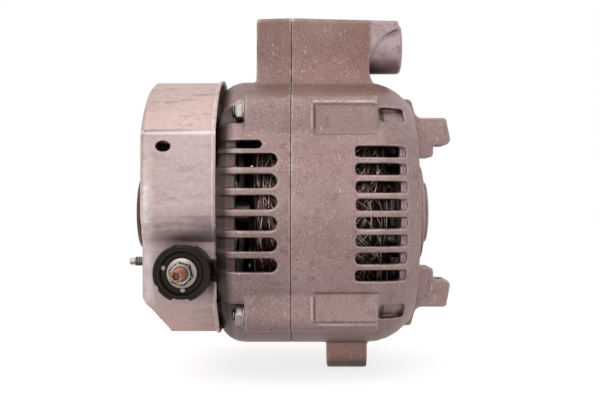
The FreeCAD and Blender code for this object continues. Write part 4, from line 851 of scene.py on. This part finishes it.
@dataclass
class Winding:
    """Varnished end turns: loose wires laid over the bundle on both sides of the core."""

    shop: Workshop
    wires: int = 230
    wire_radius: float = 0.4 * MM
    bundle_bevel: float = 2.5 * MM
    core_gap: float = 0.6 * MM
    points: int = 7

    def build(self) -> None:
        """Lays the wires on the drive side and the rear side bundle."""
        low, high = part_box("stator_winding")
        core_low, core_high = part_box("stator_core")
        chance = random.Random(11)
        self.lay("drive_end_turns", Bundle(core_high.x + self.core_gap, high.x, high.y), chance)
        self.lay("rear_end_turns", Bundle(core_low.x - self.core_gap, low.x, high.y), chance)

    def lay(self, name: str, bundle: Bundle, chance: random.Random) -> None:
        """Lays the wires of one bundle, with their spread drawn from a source of chance."""
        curve = fitted(bpy.data.curves.new(name, "CURVE"), dimensions="3D", bevel_depth=self.wire_radius,
                       bevel_resolution=0, resolution_u=2, use_fill_caps=True)
        for _ in range(self.wires):
            self.wire(curve, bundle, chance)
        self.shop.piece(name, evaluated(curve), Slot.WIRE, finish=ENAMEL, crease=100.0)

    def wire(self, curve: bpy.types.Curve, bundle: Bundle, chance: random.Random) -> None:
        """Adds one wire to a curve: out of a slot, along the bundle and back into another slot."""
        start = chance.uniform(0.0, math.tau)
        span = math.radians(chance.uniform(26.0, 62.0))
        rise = chance.uniform(0.25, 1.0)
        lean = chance.uniform(-0.5, 0.5)
        spline = curve.splines.new("NURBS")
        spline.points.add(self.points - 1)
        for index in range(self.points):
            share = index / (self.points - 1)
            along = rise * min(1.0, 1.5 * math.sin(math.pi * share)) + 0.1 * lean * (share - 0.5)
            along = min(max(along, 0.02), 1.0)
            radius = bundle.outer + chance.uniform(0.1, 0.6) * MM
            place = bundle.foot + (bundle.crest - bundle.foot) * along
            radius -= max(0.0, self.bundle_bevel - abs(place - bundle.crest))
            angle = start + span * share
            spline.points[index].co = (place, radius * math.cos(angle), radius * math.sin(angle), 1.0)
        spline.order_u = 3
        spline.use_endpoint_u = True


@dataclass(frozen=True)
class Key:
    """Stretch of the insulator's rim that is cut back, by its angles in the near view in degrees."""

    start: float
    end: float
    reach: float


@dataclass
class BatteryTerminal:
    """Battery terminal: round moulding with keyed rim, flange nut and threaded stud."""

    shop: Workshop
    rim: float = 13.2 * MM
    rim_edge: float = 0.5 * MM
    ring: float = 3.2 * MM
    floor: float = 3.0 * MM
    neck: float = 7.6 * MM
    bore: float = 3.6 * MM
    sheet_face: float = -50.0 * MM
    pins: tuple[Pair, ...] = ((-8.7 * MM, 2.4 * MM), (0.4 * MM, -7.9 * MM))
    pin_radius: float = 1.15 * MM
    keys: tuple[Key, ...] = (Key(68.0, 106.0, 12.3 * MM), Key(205.0, 216.0, 12.5 * MM),
                             Key(250.0, 287.0, 11.9 * MM))
    nut: FlangeNut = FlangeNut(10.0 * MM, 6.2 * MM, 3.2 * MM, 6.9 * MM, 1.4 * MM, chamfer=0.9 * MM)
    nut_turn: float = 14.0
    stud_radius: float = 3.0 * MM
    stud_head: float = 4.5 * MM
    stud_head_height: float = 3.4 * MM
    stud_neck: float = 3.3 * MM
    stud_point: float = 0.6 * MM
    pitch: float = 1.0 * MM
    socket: float = 1.75 * MM
    socket_depth: float = 2.0 * MM
    socket_wave: float = 0.14
    x: float = field(init=False)
    z: float = field(init=False)

    def build(self) -> None:
        """Makes the moulding, its pins, the nut and the stud."""
        low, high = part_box("terminal_insulator")
        self.x = (low.x + high.x) / 2
        self.z = high.z - self.rim
        self.moulding(low.y, high.y)
        nut_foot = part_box("battery_nut")[1].y
        self.shop.piece("battery_flange_nut", self.near(self.nut.shape(self.nut_turn), nut_foot), Slot.ZINC,
                        ["battery_nut"])
        self.stud(nut_foot - self.nut.height)

    def near(self, mesh: Shape, y: float, x: float = 0.0, z: float = 0.0) -> Shape:
        """Places a turned shape at Y, pointing to the near side, off the terminal's axis by x and z."""
        return placed(mesh, Facing.NEAR, (self.x + x, y, self.z + z))

    def moulding(self, front: float, back: float) -> None:
        """Makes the insulator and its pins, from the places on Y of its rim and its inner end."""
        depth = self.sheet_face - back
        height = self.sheet_face - front
        floor = height - self.floor
        inner = self.rim - self.ring
        flange = self.nut.flange
        mesh = spun([(depth, self.bore), (depth, self.neck), (0.0, self.neck), (0.0, self.rim),
                     (height - self.rim_edge, self.rim), (height, self.rim - self.rim_edge),
                     (height, self.rim - 1.3 * MM), (height - 0.5 * MM, self.rim - 1.6 * MM),
                     (height - 0.5 * MM, inner + 0.4 * MM), (height - 0.9 * MM, inner),
                     (floor + 0.4 * MM, inner - 0.2 * MM), (floor, inner - 0.6 * MM),
                     (floor, flange + 0.9 * MM), (floor + 0.5 * MM, flange + 0.7 * MM),
                     (floor + 0.5 * MM, flange + 0.25 * MM), (floor, flange + 0.1 * MM),
                     (floor, self.bore)], 120)
        for corner in mesh.verts:
            self.keyed(corner)
        self.shop.piece("terminal_moulding", self.near(mesh, self.sheet_face), Slot.BLACK,
                        ["terminal_insulator"], crease=30.0)
        pin = [(0.0, 0.0), (0.0, self.pin_radius), (0.5 * MM, self.pin_radius),
               (0.8 * MM, self.pin_radius - 0.35 * MM), (0.9 * MM, 0.0)]
        pins = [self.near(spun(pin, 24, closed=False), front + self.floor + 0.05 * MM, x, z)
                for x, z in self.pins]
        self.shop.piece("terminal_pins", joined(pins), Slot.ZINC, finish=PALE_PIN)

    def keyed(self, corner: bmesh.types.BMVert) -> None:
        """Cuts a point of the rim back to its keys, before the moulding is placed."""
        across, angle = polar(corner)
        if across < self.rim - 1.0 * MM or corner.co.z < -0.01 * MM:
            return
        reaches = [key.reach for key in self.keys if key.start <= math.degrees(angle) % 360.0 <= key.end]
        widen(corner, min([across] + [reach - (self.rim - across) for reach in reaches]) / across)

    def stud(self, nut_face: float) -> None:
        """Makes the stud: neck up to the nut's outer face on Y, then thread and star socket."""
        low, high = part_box("battery_stud")
        nut_end = high.y - nut_face
        tip = high.y - low.y
        point = tip - self.stud_point
        bottom = tip - self.socket_depth
        profile = [(0.0, 0.0), (0.0, self.stud_head), (self.stud_head_height, self.stud_head),
                   (self.stud_head_height + 0.1 * MM, self.stud_neck), (nut_end, self.stud_neck - 0.05 * MM),
                   (nut_end + 0.1 * MM, self.stud_radius - 0.3 * MM),
                   *thread(nut_end + self.stud_point, point, self.stud_radius, self.pitch),
                   (point, self.stud_radius - 0.1 * MM), (tip, self.stud_radius - self.stud_point),
                   (tip, self.socket), (tip - 0.3 * MM, self.socket - 0.1 * MM),
                   (bottom, self.socket - 0.2 * MM), (bottom, 0.0)]
        mesh = spun(profile, 48, closed=False)
        for corner in mesh.verts:
            across, angle = polar(corner)
            if corner.co.z > bottom - self.stud_point and 0.0 < across < self.socket + 0.01 * MM:
                widen(corner, 1.0 + self.socket_wave * math.cos(6.0 * angle))
        self.shop.piece("battery_terminal_stud", self.near(mesh, high.y), Slot.COPPER, ["battery_stud"])


@dataclass
class Fasteners:
    """Frame studs and nuts, cover studs and nuts, and the small threaded terminal."""

    shop: Workshop
    frame_nut: FlangeNut = FlangeNut(10.0 * MM, 4.4 * MM, 2.9 * MM, 6.0 * MM, 1.2 * MM)
    frame_thread: float = 9.0 * MM
    cover_nut: FlangeNut = FlangeNut(8.0 * MM, 4.0 * MM, 2.4 * MM, chamfer=0.4 * MM)
    cover_thread: float = 8.0 * MM
    cover_stud_radius: float = 2.5 * MM
    pitch: float = 1.0 * MM
    point: float = 0.5 * MM
    lamp_head_height: float = 2.0 * MM
    lamp_neck: float = 2.0 * MM
    lamp_thread_start: float = 4.7 * MM
    lamp_pitch: float = 0.8 * MM
    lamp_radius: float = 2.35 * MM
    lamp_point: float = 1.7 * MM
    lamp_point_length: float = 2.6 * MM

    def build(self) -> None:
        """Makes every fastener that shows."""
        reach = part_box("frame_nuts")[1].y - self.frame_nut.flange
        corners = [(y, z) for y in (-reach, reach) for z in (-reach, reach)]
        nuts = [self.frame_nut.shape(7.0 + 23.0 * index) for index in range(4)]
        self.group("rear_flange_nuts", "frame_nuts", nuts, corners)
        self.studs("through_studs", "frame_studs", corners, self.frame_thread)
        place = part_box("cover_studs")[1].y - self.cover_stud_radius
        spots = [(place, place), (-place, place), (place, -place)]
        nuts = [self.cover_nut.shape(12.0 + 31.0 * index) for index in range(3)]
        self.group("cover_hex_nuts", "cover_nuts", nuts, spots)
        self.studs("cover_thread_studs", "cover_studs", spots, self.cover_thread)
        self.lamp()

    def group(self, name: str, node: str, parts: Sequence[Shape], places: Sequence[Pair]) -> None:
        """Makes a piece of turned shapes that point to the rear, from their solids' drive side."""
        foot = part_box(node)[1].x
        parts = [placed(part, Facing.REAR, (foot, *place)) for part, place in zip(parts, places)]
        self.shop.piece(name, joined(parts), Slot.ZINC, [node])

    def studs(self, name: str, node: str, places: Sequence[Pair], length: float) -> None:
        """Makes a group of studs at places on Y and Z, threaded over a length at their rear ends."""
        low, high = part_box(node)
        radius = high.y - max(y for y, z in places)
        whole = high.x - low.x
        profile = [(0.0, 0.0), (0.0, radius), (whole - length, radius),
                   *thread(whole - length, whole - self.point, radius, self.pitch),
                   (whole - self.point, radius - 0.1 * MM), (whole, radius - 2 * self.point), (whole, 0.0)]
        self.group(name, node, [spun(profile, 32, closed=False) for _ in places], places)

    def lamp(self) -> None:
        """Makes the small terminal with its turned-down point."""
        low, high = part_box("lamp_terminal")
        middle = (low + high) / 2
        whole = high.x - low.x
        head = (high.y - low.y) / 2
        shoulder = whole - self.lamp_point_length
        profile = [(0.0, 0.0), (0.0, head), (self.lamp_head_height, head),
                   (self.lamp_head_height, self.lamp_neck), (self.lamp_thread_start, self.lamp_neck),
                   *thread(self.lamp_thread_start, shoulder, self.lamp_radius, self.lamp_pitch),
                   (shoulder, self.lamp_point), (whole - 0.4 * MM, self.lamp_point),
                   (whole, self.lamp_point - 0.5 * MM), (whole, 0.0)]
        self.group("lamp_thread_terminal", "lamp_terminal", [spun(profile, 32, closed=False)],
                   [(middle.y, middle.z)])


@dataclass
class BrushSprings:
    """Coil springs that press the brushes on the slip rings."""

    shop: Workshop
    wire: float = 0.35 * MM
    active_turns: float = 4.0
    end_turns: float = 1.0
    travel: float = 6.0 * MM
    steps_per_turn: int = 28

    def build(self) -> None:
        """Makes both springs, each wound to the height of its solid and standing at its foot."""
        for side in ("inner", "outer"):
            node = f"{side}_brush_spring"
            low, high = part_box(node)
            middle = (low + high) / 2
            height = high.z - low.z
            mesh = self.coil((high.y - low.y) / 2 - self.wire, height - 2 * self.wire)
            foot = (middle.x, middle.y, low.z + self.wire)
            bmesh.ops.transform(mesh, matrix=Matrix.Translation(foot), verts=mesh.verts)
            item = self.shop.piece(f"{side}_coil_spring", mesh, Slot.BEARING, [node])
            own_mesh(item)

    def coil(self, radius: float, height: float) -> Shape:
        """Winds a round wire up Z, with a closed turn at each end.

        Args:
            radius: Radius of the wire's centre line.
            height: Rise of the centre line.

        Returns:
            The coil, standing on its first wire's centre.
        """
        mesh = bmesh.new()
        turn = Matrix.Translation((radius, 0.0, 0.0)) @ Matrix.Rotation(math.pi / 2, 4, "X")
        ring = bmesh.ops.create_circle(mesh, segments=10, radius=self.wire, matrix=turn)["verts"]
        end_rise = 2.1 * self.wire * self.end_turns
        last = ring + mesh.edges[:]
        for turns, rise in ((self.end_turns, end_rise), (self.active_turns, height - 2 * end_rise),
                            (self.end_turns, end_rise)):
            steps = round(turns * self.steps_per_turn)
            last = bmesh.ops.spin(mesh, geom=last, cent=(0, 0, 0), axis=Z_AXIS, angle=turns * math.tau,
                                  dvec=(0.0, 0.0, rise / steps), steps=steps)["geom_last"]
        bmesh.ops.holes_fill(mesh, edges=[edge for edge in mesh.edges if edge.is_boundary], sides=0)
        bmesh.ops.recalc_face_normals(mesh, faces=mesh.faces)
        return mesh


@dataclass
class Studio:
    """Pale floor, white backdrop, soft lamps and the camera of the photograph's view."""

    camera_place: Point = (-0.06426, -0.477, 0.00636)
    lens: float = 54.0
    sensor: float = 36.0
    floor_size: float = 12.0
    floor_colour: Colour = (0.42, 0.415, 0.415)
    floor_glow: float = 0.76
    key_place: Point = (-0.3, -0.35, 0.85)
    key_size: float = 1.25
    key_power: float = 4.9
    fill_place: Point = (-0.3, -1.1, 0.15)
    fill_size: float = 0.87
    fill_power: float = 2.5
    target: Point = (-0.06, 0.0, 0.0)
    sky: float = 0.61
    sky_colour: Colour = (1.0, 0.985, 0.975)

    def build(self, floor_height: float) -> None:
        """Sets the stage, with its floor at a height."""
        self.floor(floor_height)
        self.world()
        self.lamp("key", self.key_place, self.key_size, self.key_power)
        self.lamp("fill", self.fill_place, self.fill_size, self.fill_power)
        self.camera()

    def floor(self, height: float) -> None:
        """Makes the floor: pale for the light, white for the camera, with the object's shadow."""
        mesh = bmesh.new()
        bmesh.ops.create_grid(mesh, x_segments=1, y_segments=1, size=self.floor_size / 2)
        bmesh.ops.translate(mesh, verts=mesh.verts, vec=(0.0, 0.0, height))
        item = linked("floor", to_mesh("floor", mesh))
        board = Board("floor")
        glow = board.product(board.seen(), self.floor_glow)
        board.fill(board.shader, {"Base Color": (*self.floor_colour, 1.0), "Roughness": 0.9,
                                  "Specular IOR Level": 0.0, "Emission Color": (1.0, 1.0, 1.0, 1.0),
                                  "Emission Strength": glow})
        item.data.materials.append(board.material)
        item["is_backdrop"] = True

    def world(self) -> None:
        """White for the camera and mirror rays, a plain pale light for the rest."""
        world = bpy.data.worlds.new("studio")
        world.use_nodes = True
        nodes = Nodes(world.node_tree)
        light = nodes.add("Background", {"Color": (*self.sky_colour, 1.0), "Strength": self.sky})
        white = nodes.add("Background", {"Color": (1.0, 1.0, 1.0, 1.0), "Strength": 1.0})
        mix = nodes.add("MixShader", {0: nodes.seen(), 1: light.outputs[0], 2: white.outputs[0]})
        nodes.add("OutputWorld", {"Surface": mix.outputs[0]})
        bpy.context.scene.world = world

    def lamp(self, name: str, place: Sequence[float], size: float, power: float) -> None:
        """Adds a square soft lamp of a power in watts that faces the object."""
        data = fitted(bpy.data.lights.new(name, "AREA"), shape="SQUARE", size=size, energy=power)
        self.stand(name, data, place, (Vector(self.target) - Vector(place)).to_track_quat("-Z", "Y"))

    def camera(self) -> None:
        """Adds the camera, level and looking along +Y."""
        data = fitted(bpy.data.cameras.new("camera"), lens=self.lens, sensor_width=self.sensor,
                      clip_start=0.01)
        item = self.stand("camera", data, self.camera_place, Y_AXIS.to_track_quat("-Z", "Z"))
        bpy.context.scene.camera = item

    def stand(self, name: str, data: bpy.types.ID, place: Sequence[float],
              turn: Quaternion) -> bpy.types.Object:
        """Puts a lamp or a camera at a place, turned to its aim."""
        return fitted(linked(name, data), location=place, rotation_mode="QUATERNION",
                      rotation_quaternion=turn)


def carried_over(shop: Workshop) -> None:
    """Dresses every solid by the slot that the record gives it, the fans in a steel of their own."""
    for row in frame["record"]["subparts"]:
        finish = FAN_STEEL if row["node"].endswith("_fan") else None
        shop.dress(frame["nodes"][row["node"]], Slot(row["material_slot"]), finish)


def main() -> None:
    """Builds the dressed alternator and its stage."""
    logging.basicConfig(level=logging.INFO, format="%(name)s %(message)s")
    solid_box = [list(corner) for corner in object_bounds()]
    shop = Workshop()
    carried_over(shop)
    for assembly in (CastFrames, PressedCover, Winding, BatteryTerminal, Fasteners, BrushSprings):
        assembly(shop).build()
    Studio().build(solid_box[0][2])
    bpy.context.scene.view_settings.view_transform = "Standard"


if __name__ == "__main__":
    main()
